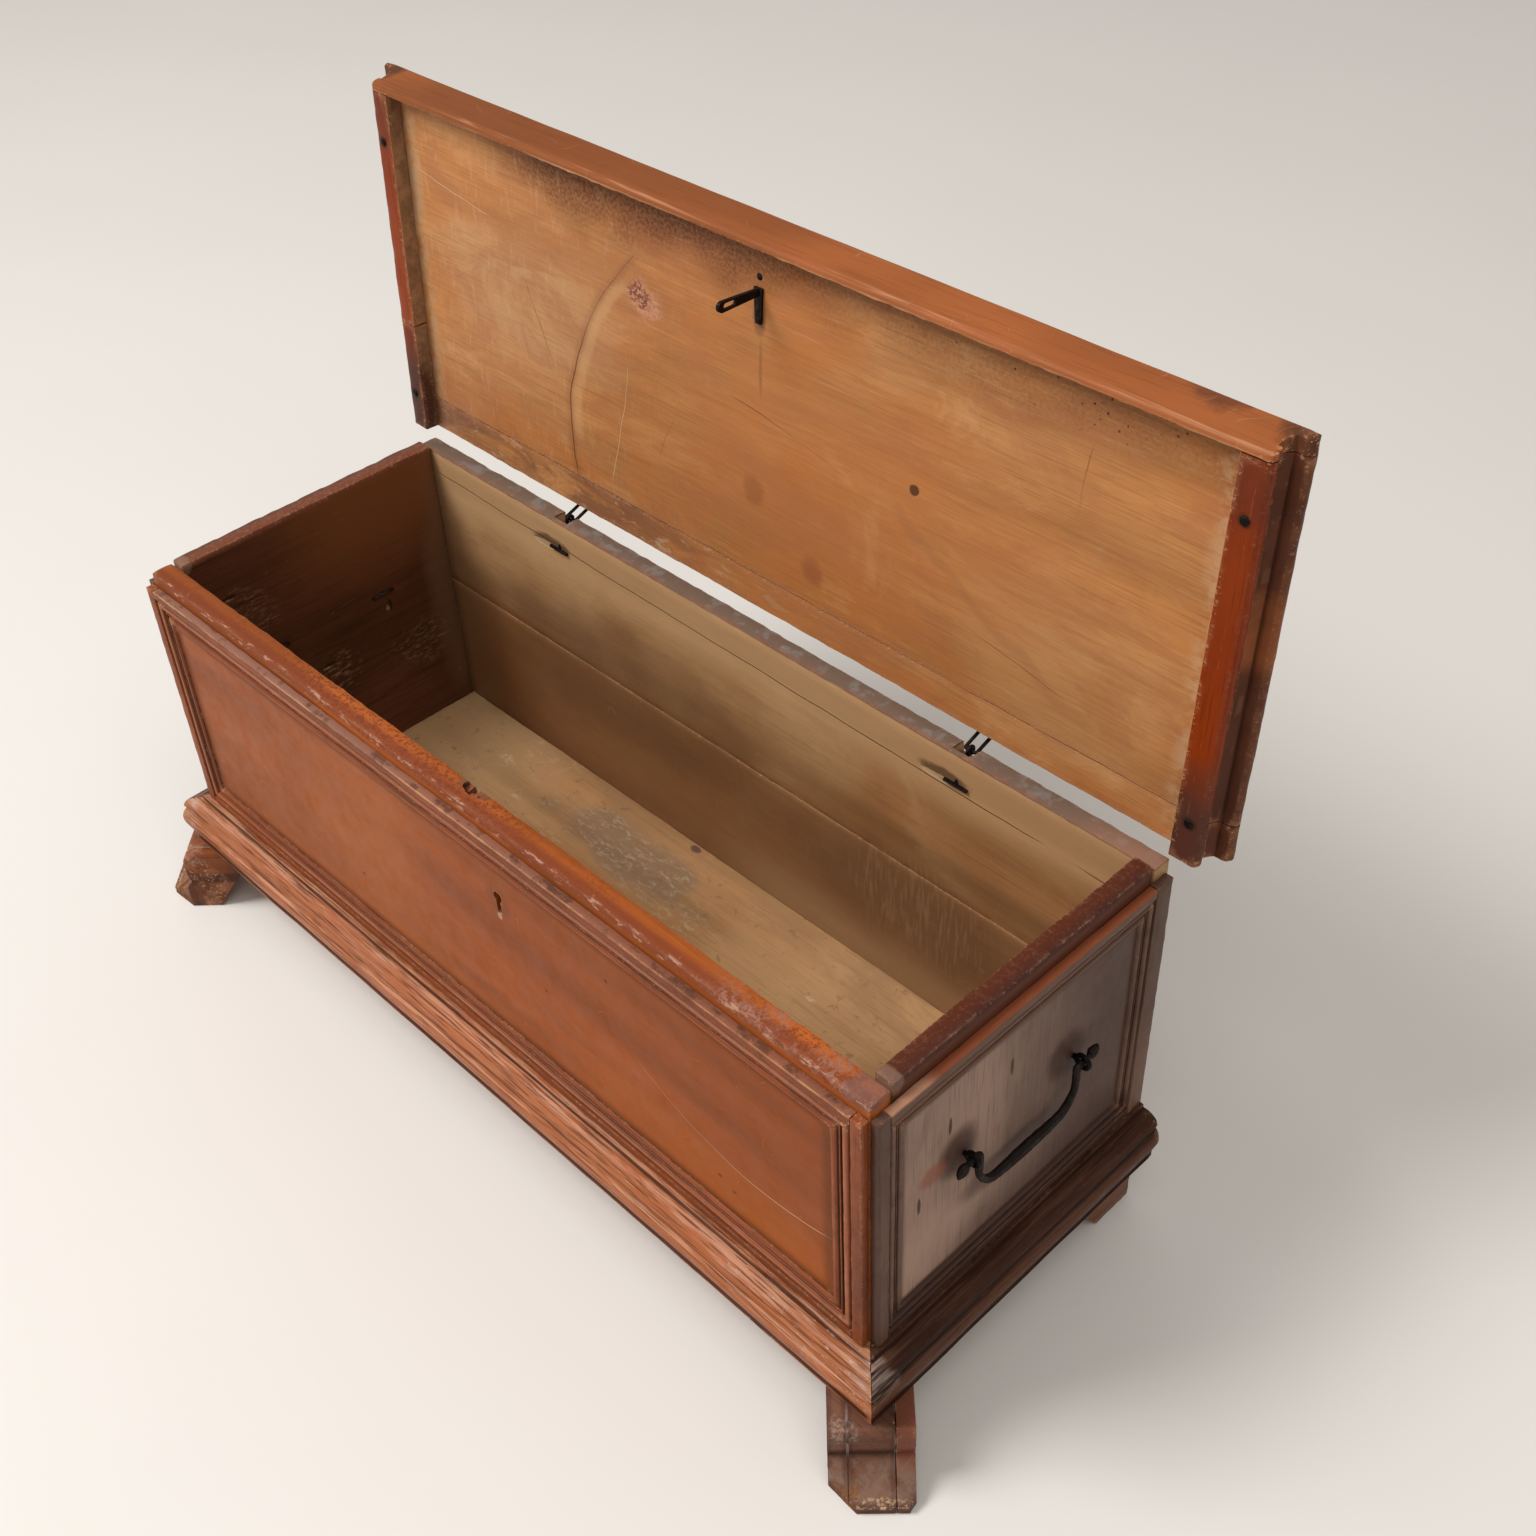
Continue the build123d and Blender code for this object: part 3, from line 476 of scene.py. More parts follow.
def arc_points(start, middle, end, count):
    """Points on the circle through three points, without the first."""
    (ax, ay), (bx, by), (cx, cy) = start, middle, end
    d = 2 * (ax * (by - cy) + bx * (cy - ay) + cx * (ay - by))
    sa, sb, sc = ax * ax + ay * ay, bx * bx + by * by, cx * cx + cy * cy
    ux = (sa * (by - cy) + sb * (cy - ay) + sc * (ay - by)) / d
    uy = (sa * (cx - bx) + sb * (ax - cx) + sc * (bx - ax)) / d
    radius = math.hypot(ax - ux, ay - uy)
    first = math.atan2(ay - uy, ax - ux)
    turn = math.atan2(cy - uy, cx - ux) - first
    through = math.atan2(by - uy, bx - ux) - first
    turn %= math.tau
    if through % math.tau > turn:
        turn -= math.tau
    return [(ux + radius * math.cos(first + turn * i / count),
             uy + radius * math.sin(first + turn * i / count)) for i in range(1, count + 1)]


def resample(points, spacing):
    """Closed line with its sides divided into parts of about one spacing."""
    filled = []
    for here, there in zip(points, points[1:] + points[:1]):
        parts = max(1, round(math.dist(here, there) / spacing))
        filled += [tuple(a + (b - a) * i / parts for a, b in zip(here, there)) for i in range(parts)]
    return filled


def section(start, *steps, arc=7, spacing=0.0):
    """Closed section; a step is the next corner or an arc's middle and end."""
    points = [start]
    for step in steps:
        if isinstance(step[0], tuple):
            points += arc_points(points[-1], step[0], step[1], arc)
        else:
            points.append(step)
    return resample(points, spacing) if spacing else points


def moulding(name, points, place, run, step=0.008, axis=0):
    """Length of moulding along an axis; place(u, v, end) puts the section's points at both ends."""
    bpy.ops.object.select_all(action="DESELECT")
    bpy.ops.mesh.primitive_circle_add(vertices=len(points), fill_type="NGON")
    piece = bpy.context.object
    piece.name = piece.data.name = name
    bpy.ops.object.mode_set(mode="EDIT")
    bpy.ops.mesh.select_all(action="SELECT")
    bpy.ops.mesh.extrude_region_move(TRANSFORM_OT_translate={"value": (0, 0, 1)})
    bpy.ops.object.mode_set(mode="OBJECT")
    low_ring = [v for v in piece.data.vertices if v.co.z < 0.5]
    high_ring = [v for v in piece.data.vertices if v.co.z >= 0.5]
    for ring, end in ((low_ring, 0), (high_ring, 1)):
        ordered = sorted(ring, key=lambda v: math.atan2(v.co.y, v.co.x) % math.tau)
        for vertex, (u, v) in zip(ordered, points):
            vertex.co = place(u, v, end)
    cuts = max(1, round(run / step) - 1)
    only(piece)
    bpy.ops.object.mode_set(mode="EDIT")
    bpy.ops.mesh.select_mode(type="EDGE")
    bpy.ops.mesh.select_all(action="DESELECT")
    mesh = bmesh.from_edit_mesh(piece.data)
    for edge in mesh.edges:
        run_part = edge.verts[1].co - edge.verts[0].co
        edge.select_set(abs(run_part[axis]) > run * 0.5)
    bmesh.update_edit_mesh(piece.data)
    bpy.ops.mesh.subdivide(number_cuts=cuts)
    bpy.ops.mesh.select_all(action="SELECT")
    bpy.ops.mesh.normals_make_consistent(inside=False)
    bpy.ops.object.mode_set(mode="OBJECT")
    return piece


def cut_away(piece, *cutters, operation="DIFFERENCE"):
    """Take cutters out of a piece, and remove them."""
    for cutter in cutters:
        apply(piece, "BOOLEAN", object=cutter, operation=operation, solver="EXACT")
        bpy.data.objects.remove(cutter)


def block(low, high):
    """Plain cutter between two corners."""
    low, high = Vector(low), Vector(high)
    bpy.ops.object.select_all(action="DESELECT")
    bpy.ops.mesh.primitive_cube_add(size=1, location=(low + high) / 2, scale=high - low)
    return bpy.context.object


def keyhole(middle, depth, front, back):
    """Cutters for the keyhole, a round hole and the slot under it."""
    low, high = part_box("key_pin")
    x, z = (low.x + high.x) / 2, (low.z + high.z) / 2
    bpy.ops.object.select_all(action="DESELECT")
    bpy.ops.mesh.primitive_cylinder_add(vertices=24, radius=KEYHOLE_RADIUS, depth=depth,
                                        location=(x, middle, z), rotation=(math.pi / 2, 0, 0))
    hole = bpy.context.object
    return hole, block((x - SLOT_HALF, front, z - SLOT_DROP), (x + SLOT_HALF, back, z))


def lean_back(piece):
    """Turn a piece of the shut lid about the hinge line to where it leans open."""
    lid = bpy.context.scene.lid_sizes
    hinge = Vector((0, lid.hinge_y, lid.hinge_z))
    turn = Matrix.Translation(hinge) @ Matrix.Rotation(-lid.lean, 4, "X") @ Matrix.Translation(-hinge)
    piece.data.transform(turn)
    piece.data.update()


def finish_piece(piece, material, body, slot, *nodes, angle=35):
    """Shade, colour and join a finished piece to its body."""
    only(piece)
    bpy.ops.object.shade_smooth_by_angle(angle=math.radians(angle))
    piece.data.materials.clear()
    piece.data.materials.append(material)
    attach(piece, body)
    if nodes:
        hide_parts(*nodes)


# ------------------------------------------------------------------ pieces
class Maker(bpy.types.Operator):
    """Makes one group of pieces."""
    bl_options = {"REGISTER", "UNDO"}

    def execute(self, context):
        self.colours = context.scene.walnut_colours
        self.lid = context.scene.lid_sizes
        self.make()
        return {"FINISHED"}


def whole_box(*nodes):
    """Lowest and highest corner of several CAD nodes."""
    boxes = [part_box(node) for node in nodes]
    return (Vector(min(b[0][i] for b in boxes) for i in range(3)),
            Vector(max(b[1][i] for b in boxes) for i in range(3)))


class CASSONE_OT_boards(Maker):
    """Carcass boards, rim and bottom"""
    bl_idname = "cassone.boards"
    bl_label = "Carcass boards"

    def make(self):
        self.front()
        for side, sign in (("left", -1), ("right", 1)):
            self.end(side, sign)
        for name, seed in (("back_board_upper", 11), ("back_board_lower", 12)):
            self.back(name, seed, "upper" in name)
        for name, seed in (("floor_board_front", 21), ("floor_board_rear", 22)):
            piece = board(f"{name}_worn", *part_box(name), 0.010, 0.0012, 0.001, 0.001)
            finish_piece(piece, self.floor_timber(name, seed), "chest", "interior_boards", name)

    def front(self):
        """Front board with the lock's pocket, the hasp's notch, a bite broken out and the keyhole."""
        low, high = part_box("front_board")
        piece = board("front_board_worn", low, high, 0.007, 0.0028, 0.0008, 0.0030)
        plate_low, plate_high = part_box("lock_plate")
        hasp_x = sum(corner.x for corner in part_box("hasp")) / 2
        pocket = block((plate_low.x + 0.012, high.y - 0.018, plate_low.z + 0.012),
                       (plate_high.x - 0.012, high.y + 0.01, plate_high.z))
        notch = block((hasp_x - 0.0045, high.y - 0.0145, plate_high.z - 0.001),
                      (hasp_x + 0.0045, high.y + 0.01, high.z + 0.01))
        bite = block((hasp_x - 0.013, high.y - 0.011, high.z - 0.0035),
                     (hasp_x + 0.015, high.y + 0.01, high.z + 0.02))
        only(bite)
        settle()
        grade(bite, [0.004] * 3)
        apply(bite, "DISPLACE", texture=clouds("bite", 0.012, 2), strength=0.009, texture_coords="LOCAL")
        hole, slot = keyhole(middle=low.y + 0.02, depth=0.06, front=low.y - 0.01, back=high.y - 0.014)
        cut_away(piece, pocket, notch, slot, hole, bite)
        finish_piece(piece, self.rim_walnut(low, high), "chest", "walnut", "front_board")

    def rim_walnut(self, low, high):
        """Front board: polish rubbed off the rim, dust at the right, torn outer arris, bare inside."""
        wood = Timber("rim_walnut", "x", (0.42, 0.105, 0.022), 3, contrast=0.45, figure=0.6)
        y, z = wood.y, wood.z
        top = z.over(high.z - 0.012, high.z - 0.004)
        outer = y.over(low.y + 0.019, low.y + 0.009)
        grain = wood.speckle.over(0.48, 0.60) * wood.patches.over(0.34, 0.58)
        dusty = wood.spot((0.50, 0, high.z), (0.14, 0, 0.1), 0.8) * wood.mottle.over(0.40, 0.58)
        end = wood.spot((0.562, 0, high.z), (0.025, 0, 0.1), 0.5)
        torn = wood.noise(120, 3, 0.72, 0, (0.30, 1, 1)).over(0.54, 0.62)
        arris = y.over(low.y + 0.0060, low.y + 0.0020)
        dent = wood.spot((HASP_X, high.y, high.z), (0.026, 0.018, 0.02), 0.5, 0.8, FINE)
        inside = y.over(high.y - 0.003, high.y - 0.0005) * z.over(high.z - 0.004, high.z - 0.02)
        wood.layers(
            (top * grain * 0.6, (0.11, 0.025, 0.010), 0.1, -0.4),
            (top * outer * 0.75, (0.17, 0.038, 0.016), -0.04),
            (top * dusty * wood.speckle.over(0.38, 0.60) * 0.6, (0.38, 0.20, 0.145), 0.15),
            (top * end * 0.6, (0.20, 0.10, 0.08), 0.1),
            (y.over(low.y + 0.0005, low.y - 0.0008) * 0.5, (0.12, 0.030, 0.015)),
            (top * arris * torn * 0.75, (0.50, 0.28, 0.19), 0.2, -0.9),
            (dent * 0.6, (0.16, 0.075, 0.045), 0.2, -0.4),
            (inside, shade(self.colours.back_inside, 0.62), 0.2))
        wood.age(0.35, 0.4, 0.7, 0.3)
        return wood.done(0.0012, 0.7)

    def end(self, side, sign):
        """Side board, its top a little under the rim's, clear of the shut lid."""
        low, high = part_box(f"{side}_side_board")
        high = high - Vector((0, 0, RIM_CLEARANCE))
        piece = board(f"{side}_side_board_worn", low, high, 0.007, 0.0035, 0.0008, 0.0026)
        colours = self.colours
        # Painted shade: the left end's inner face takes the very dark inner colour, and the right one is
        # darkened part of the way.
        tone = colours.dark_inside if sign < 0 else blend(colours.back_inside, colours.dark_inside, 0.45)
        wood = Timber(f"{side}_end_board", "y", tone, 5 + sign, contrast=0.5, fade=shade(tone, 1.5))
        across = wood.x * sign
        face = max(abs(low.x), abs(high.x))
        outside = across.over(face - 0.004, face - 0.001)
        rim = wood.z.over(high.z - 0.010, high.z - 0.003)
        corner = wood.spot((0, low.y, high.z), (0, 0.016, 0.018), 0.5, 0.6, FINE)
        foot = wood.z.over(0.24, 0.10) * wood.figure.over(0.40, 0.55)
        wood.layers(
            (outside, (0.12, 0.040, 0.022)),
            (rim, (0.088, 0.023, 0.011) if sign > 0 else (0.17, 0.055, 0.028), -0.05),
            (rim * wood.speckle.over(0.50, 0.64) * (0.30 if sign < 0 else 0.12),
             shade(colours.rubbed, 0.6), 0.2),
            (rim * across.over(0.562, 0.574) * 0.75, (0.06, 0.022, 0.018)),
            (corner * 0.6, (0.24, 0.14, 0.10), 0.2),
            (foot * (1 - outside) * 0.4, blend(colours.back_inside, tone, 0.5), 0.2))
        if sign < 0:
            self.left_inside(wood, rim, 1 - outside)
        wood.age(0.35, 0.5, 0.3, 0.15)
        finish_piece(piece, wood.done(0.001, 0.6), "chest", "interior_boards", f"{side}_side_board")

    def left_inside(self, wood, rim, inner):
        """Stains, torn patches and nicks on the smoked inner face of the left end."""
        upper = wood.z.over(0.33, 0.47) * wood.y.over(-0.10, 0.06)
        wood.layers(
            (upper * (1 - rim) * 0.9, (0.185, 0.068, 0.023)),
            (wood.spot((0, 0.19, 0.30), (0, 0.05, 0.24), 0.9) * 0.55, (0.20, 0.105, 0.052), 0.1))
        torn = wood.noise(260, 4, 0.75, 0.2, (1, 0.25, 1), (2, 5, 1)).over(0.50, 0.62)
        for y, z, wide, tall, share in ((-0.115, 0.40, 0.060, 0.055, 0.35),
                                        (-0.015, 0.255, 0.050, 0.050, 0.55),
                                        (0.125, 0.24, 0.060, 0.045, 0.4)):
            patch = wood.spot((0, y, z), (0, wide, tall), 0.9, 0.9)
            wood.layer(patch * torn * inner * share, (0.38, 0.23, 0.13), 0.2, -1.2)
        for y, z, wide, tall in ((0.088, 0.318, 0.003, 0.009), (-0.016, 0.277, 0.010, 0.003),
                                 (-0.125, 0.440, 0.010, 0.003)):
            nick = wood.spot((0, y, z), (0, wide, tall), 0.5, 0.9, FINE)
            pale = wood.spot((0, y - 0.004, z - 0.003), (0, wide, tall * 0.7), 0.5, 0.9, FINE)
            wood.layers(
                (nick * 0.9, (0.030, 0.014, 0.009), 0.2, -2),
                (pale * wood.speckle.over(0.46, 0.56) * inner * 0.8, (0.36, 0.22, 0.13), 0.2))

    def back(self, name, seed, upper):
        """Back board; the upper one is thicker and taller than its node, and notched for the rings."""
        low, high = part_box(name)
        raised = high + Vector((0, 0.006, 0.0045)) if upper else high
        piece = board(f"{name}_worn", low, raised, 0.008, 0.0014, 0.0009, 0.0028 if upper else 0.0008)
        wood = self.back_timber(name, seed)
        if upper:
            for ring_x in RING_X:
                cut_away(piece, block((ring_x - 0.012, high.y - 0.012, high.z - 0.011),
                                      (ring_x + 0.012, high.y + 0.01, high.z + 0.01)))
            self.back_top(wood, high, raised)
        wood.age(0.35, 0.5, 0.3, 0.2)
        finish_piece(piece, wood.done(0.0012, 0.7), "chest", "interior_boards", name)

    def back_timber(self, name, seed):
        """Bare back board, pale under the rim, darker low down and cracked along its length."""
        wood = Timber(f"{name}_timber", "x", self.colours.back_inside, seed, contrast=0.42,
                      fade=(0.52, 0.31, 0.15), figure=0.5)
        x, z = wood.x, wood.z
        cloudy = wood.noise(7, 5, 0.62, 0.7, (0.6, 1, 1), (8, 2, 5))
        wood.layers(
            (cloudy.over(0.46, 0.64) * 0.45, (0.30, 0.145, 0.058)),
            (cloudy.over(0.46, 0.34) * 0.35, (0.55, 0.33, 0.155)),
            (z.over(0.445, 0.22) * 0.72, (0.150, 0.062, 0.024)),
            (z.over(0.40, 0.46) * 0.6, (0.62, 0.38, 0.185)),
            (wood.spot((-0.24, 0, 0.31), (0.34, 0, 0.12), 0.9, 0.5) * 0.5, (0.135, 0.060, 0.025)),
            (wood.spot((0.25, 0, 0.24), (0.24, 0, 0.10), 0.9, 0.5) * 0.5, (0.140, 0.065, 0.028)),
            (z.over(0.20, 0.13) * x.over(-0.1, 0.1) * 0.45, (0.42, 0.25, 0.125)),
            (x.over(-0.46, -0.545) * 0.30, (0.48, 0.30, 0.15)))
        chatter = wood.noise(210, 2, 0.5, 0.2, (1, 1, 0.12), (1, 2, 3))
        wood.height = wood.height + chatter * 0.12
        combed = wood.spot((0.28, 0, 0.25), (0.14, 0, 0.09), 0.9, 0.6)
        crack = wood.crack(x, z, (0.4625, -0.0200), 0.0010, -0.54, 0.54, 0.006)
        wood.layers(
            (chatter.over(0.44, 0.66) * combed * 0.26, (0.42, 0.26, 0.13), 0, -0.2),
            (x.over(-0.535, -0.549) * 0.35, (0.10, 0.045, 0.02)),
            (crack * wood.patches.over(0.36, 0.46) * 0.85, (0.03, 0.013, 0.008), 0.2, -2.0))
        return wood

    def back_top(self, wood, high, raised):
        """Grey, chipped top edge of the upper back board, and stains about the hinge rings' legs."""
        y = wood.y
        top = wood.z.over(raised.z - 0.004, raised.z - 0.001)
        front = top * y.over(high.y - 0.010, high.y - 0.016) * wood.mottle.over(0.36, 0.56)
        rear = top * y.over(raised.y - 0.003, raised.y - 0.001) * wood.speckle.over(0.44, 0.56)
        wood.layers(
            (wood.z.over(0.452, 0.470) * 0.3, (0.36, 0.19, 0.09)),
            (top * 0.9, (0.115, 0.080, 0.064), 0.2),
            (top * wood.mottle.over(0.48, 0.64) * 0.7, (0.20, 0.18, 0.165), 0.3),
            (front * 0.7, (0.21, 0.085, 0.048)),
            (top * wood.x.over(0.44, 0.56) * 0.7, (0.30, 0.150, 0.095), 0.1),
            (rear * 0.7, (0.42, 0.32, 0.27), 0.2))
        for clench_x in CLENCH_X:
            stain = wood.spot((clench_x, 0, 0.468), (0.04, 0, 0.011), 0.7, 0.6, FINE)
            flake = wood.spot((clench_x - 0.01, 0, 0.463), (0.025, 0, 0.005), 0.4, 0.8, FINE)
            wood.layers((stain * 0.75, (0.07, 0.028, 0.014), 0.1, -0.6),
                        (flake * 0.7, (0.55, 0.38, 0.22), 0.1, -0.8))

    def floor_timber(self, name, seed):
        """Pale bottom board with a rough grey patch, flecks, a knot and a few splashes."""
        wood = Timber(f"{name}_timber", "x", self.colours.floor_inside, seed, contrast=0.38,
                      fade=(0.54, 0.32, 0.15), figure=0.6)
        cloudy = wood.noise(5, 5, 0.65, 0.8, (0.5, 1, 1))
        patch = wood.spot((-0.13, 0.115, 0), (0.17, 0.050, 0), 0.8, 1.0)
        flecks = wood.noise(150, 5, 0.78, 0.3, (0.35, 1, 1), (4, 4, 4)).over(0.50, 0.64)
        wood.layers(
            (wood.x.over(-0.25, -0.50) * 0.6, (0.64, 0.40, 0.20)),
            (cloudy.over(0.50, 0.68) * 0.55, (0.26, 0.145, 0.070), 0.1),
            (patch * 0.65, (0.20, 0.135, 0.085), 0.2),
            (patch * flecks * 0.5, (0.50, 0.37, 0.23), 0.2, 0.4),
            (flecks * cloudy.over(0.48, 0.36) * 0.35, (0.62, 0.47, 0.30), 0.1))
        for x, y, radius in ((-0.398, 0.130, 0.012), (-0.33, 0.09, 0.007), (0.20, 0.10, 0.006)):
            splash = wood.spot((x, y, 0), (radius * 1.6, radius * 0.8, 0), 0.9, 1.3, FINE)
            wood.layer(splash * wood.speckle.over(0.42, 0.56) * 0.6, (0.62, 0.49, 0.33), 0.1)
        knot = wood.spot((-0.082, 0.183, 0), (0.012, 0.007, 0), 0.6, 0.9, FINE)
        wood.layers(
            (knot * 0.85, (0.085, 0.050, 0.045), 0.1, -1),
            (wood.noise(60, 4, 0.7, 0.3).over(0.60, 0.68) * 0.4, (0.14, 0.08, 0.045), 0.1))
        wood.age(0.2, 0.3, 0.9, 0.35)
        return wood.done(0.0010, 0.6)


class CASSONE_OT_frames(Maker):
    """Applied frames, beads and panels of the front and the ends"""
    bl_idname = "cassone.frames"
    bl_label = "Frames and panels"

    def make(self):
        self.front()
        for side, sign in (("right", 1), ("left", -1)):
            self.end(side, sign)

    def bead_section(self, width, base):
        """Round bead, fillet between two grooves and inner bead, over the panel's thickness."""
        quirk, crest, inner = width * 0.1, width * 0.42, width * 0.68
        step = (inner - crest) / 3
        floor, fillet = base + 0.00055, base + 0.0022
        return section(
            (0, 0), (width, 0), (width, base), (((inner + width) / 2, base + 0.0034), (inner, floor)),
            (inner - step, floor - 0.0006), (inner - step * 1.3, fillet), (crest + step * 1.3, fillet),
            (crest + step, floor - 0.0006), (crest, floor),
            (((quirk + crest) / 2, base + 0.0046), (quirk, floor)), (quirk * 0.7, floor - 0.0008),
            (0, floor - 0.0008), arc=8)

    def frame_face(self, side, walnut, panel_finish, pose, span, height, stiles, rails, bead, nodes):
        """One face: two stiles, two rails, four bead lengths and a panel.

        pose(a, b, c) places along, up and out; span and height bound the frame along the face, and
        stiles, rails and bead are the widths of its parts.
        """
        low, high = span
        foot, ledge = height
        depth, panel = 0.0106, 0.0053
        inner = (low + stiles[0], high - stiles[1], foot + rails[1], ledge - rails[0])

        def flat(name, first, last, *settings):
            corners = [sorted(pair) for pair in zip(first, last)]
            return board(name, [c[0] for c in corners], [c[1] for c in corners], *settings)

        for label, a0, a1, b0, b1 in (
            ("stile_a", low, inner[0], foot, ledge), ("stile_b", inner[1], high, foot, ledge),
            ("top_rail", inner[0], inner[1], inner[3], ledge),
            ("bottom_rail", inner[0], inner[1], foot, inner[2]),
        ):
            piece = flat(f"{side}_{label}_worn", pose(a0, b0, 0), pose(a1, b1, depth),
                         0.0065, 0.0011, 0.0003, 0.0016)
            finish_piece(piece, walnut[label], "chest", "walnut", nodes[label])
        lengths = {
            "top": (inner[0], inner[1], lambda u, t: (t, inner[3] - u)),
            "bottom": (inner[0], inner[1], lambda u, t: (t, inner[2] + u)),
            "a": (inner[2], inner[3], lambda u, t: (inner[0] + u, t)),
            "b": (inner[2], inner[3], lambda u, t: (inner[1] - u, t)),
        }
        points = self.bead_section(bead, panel)
        made = []
        for label, (start, stop, across) in lengths.items():
            def place(u, v, end, start=start, stop=stop, across=across):
                t = stop - u if end else start + u
                return pose(*across(u, t), v)
            axis = 2 if label in "ab" else (0 if side == "front" else 1)
            piece = moulding(f"{side}_bead_{label}_run", points, place, stop - start, 0.009, axis)
            weather(piece, 0.0004, 0.0007, 0.009)
            made.append(piece)
            if side == "front":
                finish_piece(piece, walnut["bead_" + label], "chest", "walnut", nodes["bead_" + label])
        if side != "front":
            beads = join(made, f"{side}_beads")
            finish_piece(beads, walnut["beads"], "chest", "walnut", nodes["beads"])
        first = pose(inner[0] + bead, inner[2] + bead, 0)
        last = pose(inner[1] - bead, inner[3] - bead, panel)
        piece = flat(f"{side}_field", first, last, 0.010, 0.0003, 0.0009, 0)
        if side == "front":
            face = first[1]
            cut_away(piece, *keyhole(middle=face, depth=0.03, front=face - 0.02, back=face + 0.02))
        finish_piece(piece, panel_finish, "chest", "walnut", nodes["panel"])

    def front(self):
        low, high = whole_box("front_top_rail", "front_left_stile", "front_right_stile")
        self.ledge = high.z
        walnut = {}
        for label, grain, seed in (("stile_a", "z", 31), ("stile_b", "z", 32), ("top_rail", "x", 33),
                                   ("bottom_rail", "x", 34), ("bead_top", "x", 35),
                                   ("bead_bottom", "x", 36), ("bead_a", "z", 37), ("bead_b", "z", 38)):
            walnut[label] = self.front_walnut(label, grain, seed, low, high)

        def pose(a, b, c):
            return Vector((a, high.y - c, b))

        nodes = {"stile_a": "front_left_stile", "stile_b": "front_right_stile",
                 "top_rail": "front_top_rail", "bottom_rail": "front_bottom_rail",
                 "bead_top": "front_bead_top", "bead_bottom": "front_bead_bottom",
                 "bead_a": "front_bead_left", "bead_b": "front_bead_right", "panel": "front_panel"}
        self.frame_face("front", walnut, self.panel_walnut(), pose, (low.x, high.x), (low.z, high.z),
                        (0.014, 0.014), (0.0107, 0.011), 0.027, nodes)

    def front_walnut(self, label, grain, seed, low, high):
        """Stile, rail or bead of the front, with dust on the ledge, a painted highlight along the ledge's
        front arris and painted highlights on the beads' crests.
        """
        grime = self.colours.grime_and_shade
        wood = Timber(f"front_{label}_walnut", grain, self.colours.frame, seed, contrast=0.42)
        y, z, ledge = wood.y, wood.z, high.z
        if label == "top_rail":
            top = z.over(ledge - 0.002, ledge - 0.0006)
            rim = y.over(low.y + 0.0020, low.y + 0.0006) * z.over(ledge - 0.003, ledge - 0.001)
            bright = wood.noise(45, 4, 0.7, 0.2, (0.25, 1, 1)).over(0.42, 0.60)
            # The last layer is a painted highlight along the ledge's front arris.
            wood.layers(
                (top * (0.85 - wood.x.over(-0.3, 0.4) * 0.45), (0.27, 0.135, 0.095), 0.1),
                (top * wood.mottle.over(0.5, 0.62) * 0.5, grime),
                (rim * bright * 0.8, (0.60, 0.29, 0.14), 0.1))
        if label.startswith("bead"):
            # Painted highlight along the beads' crests.
            crest = y.over(high.y - 0.0080, high.y - 0.0094) * wood.streaks.over(0.30, 0.55)
            wood.layers((crest * 0.45, (0.46, 0.20, 0.115), 0.05),
                        (y.over(high.y - 0.0066, high.y - 0.0056) * 0.8, (0.06, 0.020, 0.010)))
        wood.layer(wood.mottle.over(0.48, 0.68) * 0.22, grime)
        wood.age(0.55, 0.7, 0.9, 0.2)
        return wood.done(0.0008, 0.55)

    def panel_walnut(self):
        """Field of the front: warm and cloudy, specks, a scratch at the right, and painted shade round its
        edges.
        """
        tone = self.colours.panel
        wood = Timber("front_panel_walnut", "x", tone, 41, contrast=0.36, fade=(0.35, 0.090, 0.014),
                      figure=0.45)
        x, z = wood.x, wood.z
        cloudy = wood.noise(6, 5, 0.6, 0.6, (0.6, 1, 1), (6, 2, 1))
        wood.layers(
            (wood.spot((-0.30, 0, 0.30), (0.32, 0, 0.15), 0.9, 0.3) * 0.45, (0.34, 0.092, 0.020), 0.05),
            (wood.spot((0.36, 0, 0.225), (0.24, 0, 0.07), 0.9, 0.4) * 0.7, (0.33, 0.076, 0.004)),
            (z.over(0.30, 0.46) * x.over(-0.2, 0.4) * 0.4, shade(tone, 0.6)),
            (cloudy.over(0.52, 0.66) * 0.35, shade(tone, 0.68)),
            (wood.spot((0.066, 0, 0.405), (0.024, 0, 0.024), 0.9, 0.7, FINE) * 0.55, shade(tone, 0.4)),
            (wood.spot((0.0645, 0, 0.3835), (0.0042, 0, 0.0062), 0.5, 0.9, FINE) * 0.8,
             (0.48, 0.29, 0.18), 0.2, -0.6))
        for at_x, at_z in ((0.381, 0.244), (0.401, 0.2346), (0.234, 0.411), (-0.21, 0.262),
                           (0.128, 0.318)):
            speck = wood.spot((at_x, 0, at_z), (0.0035, 0, 0.0028), 0.7, 0.8, FINE)
            wood.layer(speck * 0.7, (0.06, 0.020, 0.010), 0.1, -0.8)
        start, *bends = 0.5907, -1.4495, 1.649
        scratch = wood.crack(x, z, (start, *bends), 0.0009, 0.255, 0.53, 0.005)
        pale = wood.crack(x, z, (start + 0.0007, *bends), 0.0011, 0.27, 0.53, 0.005)
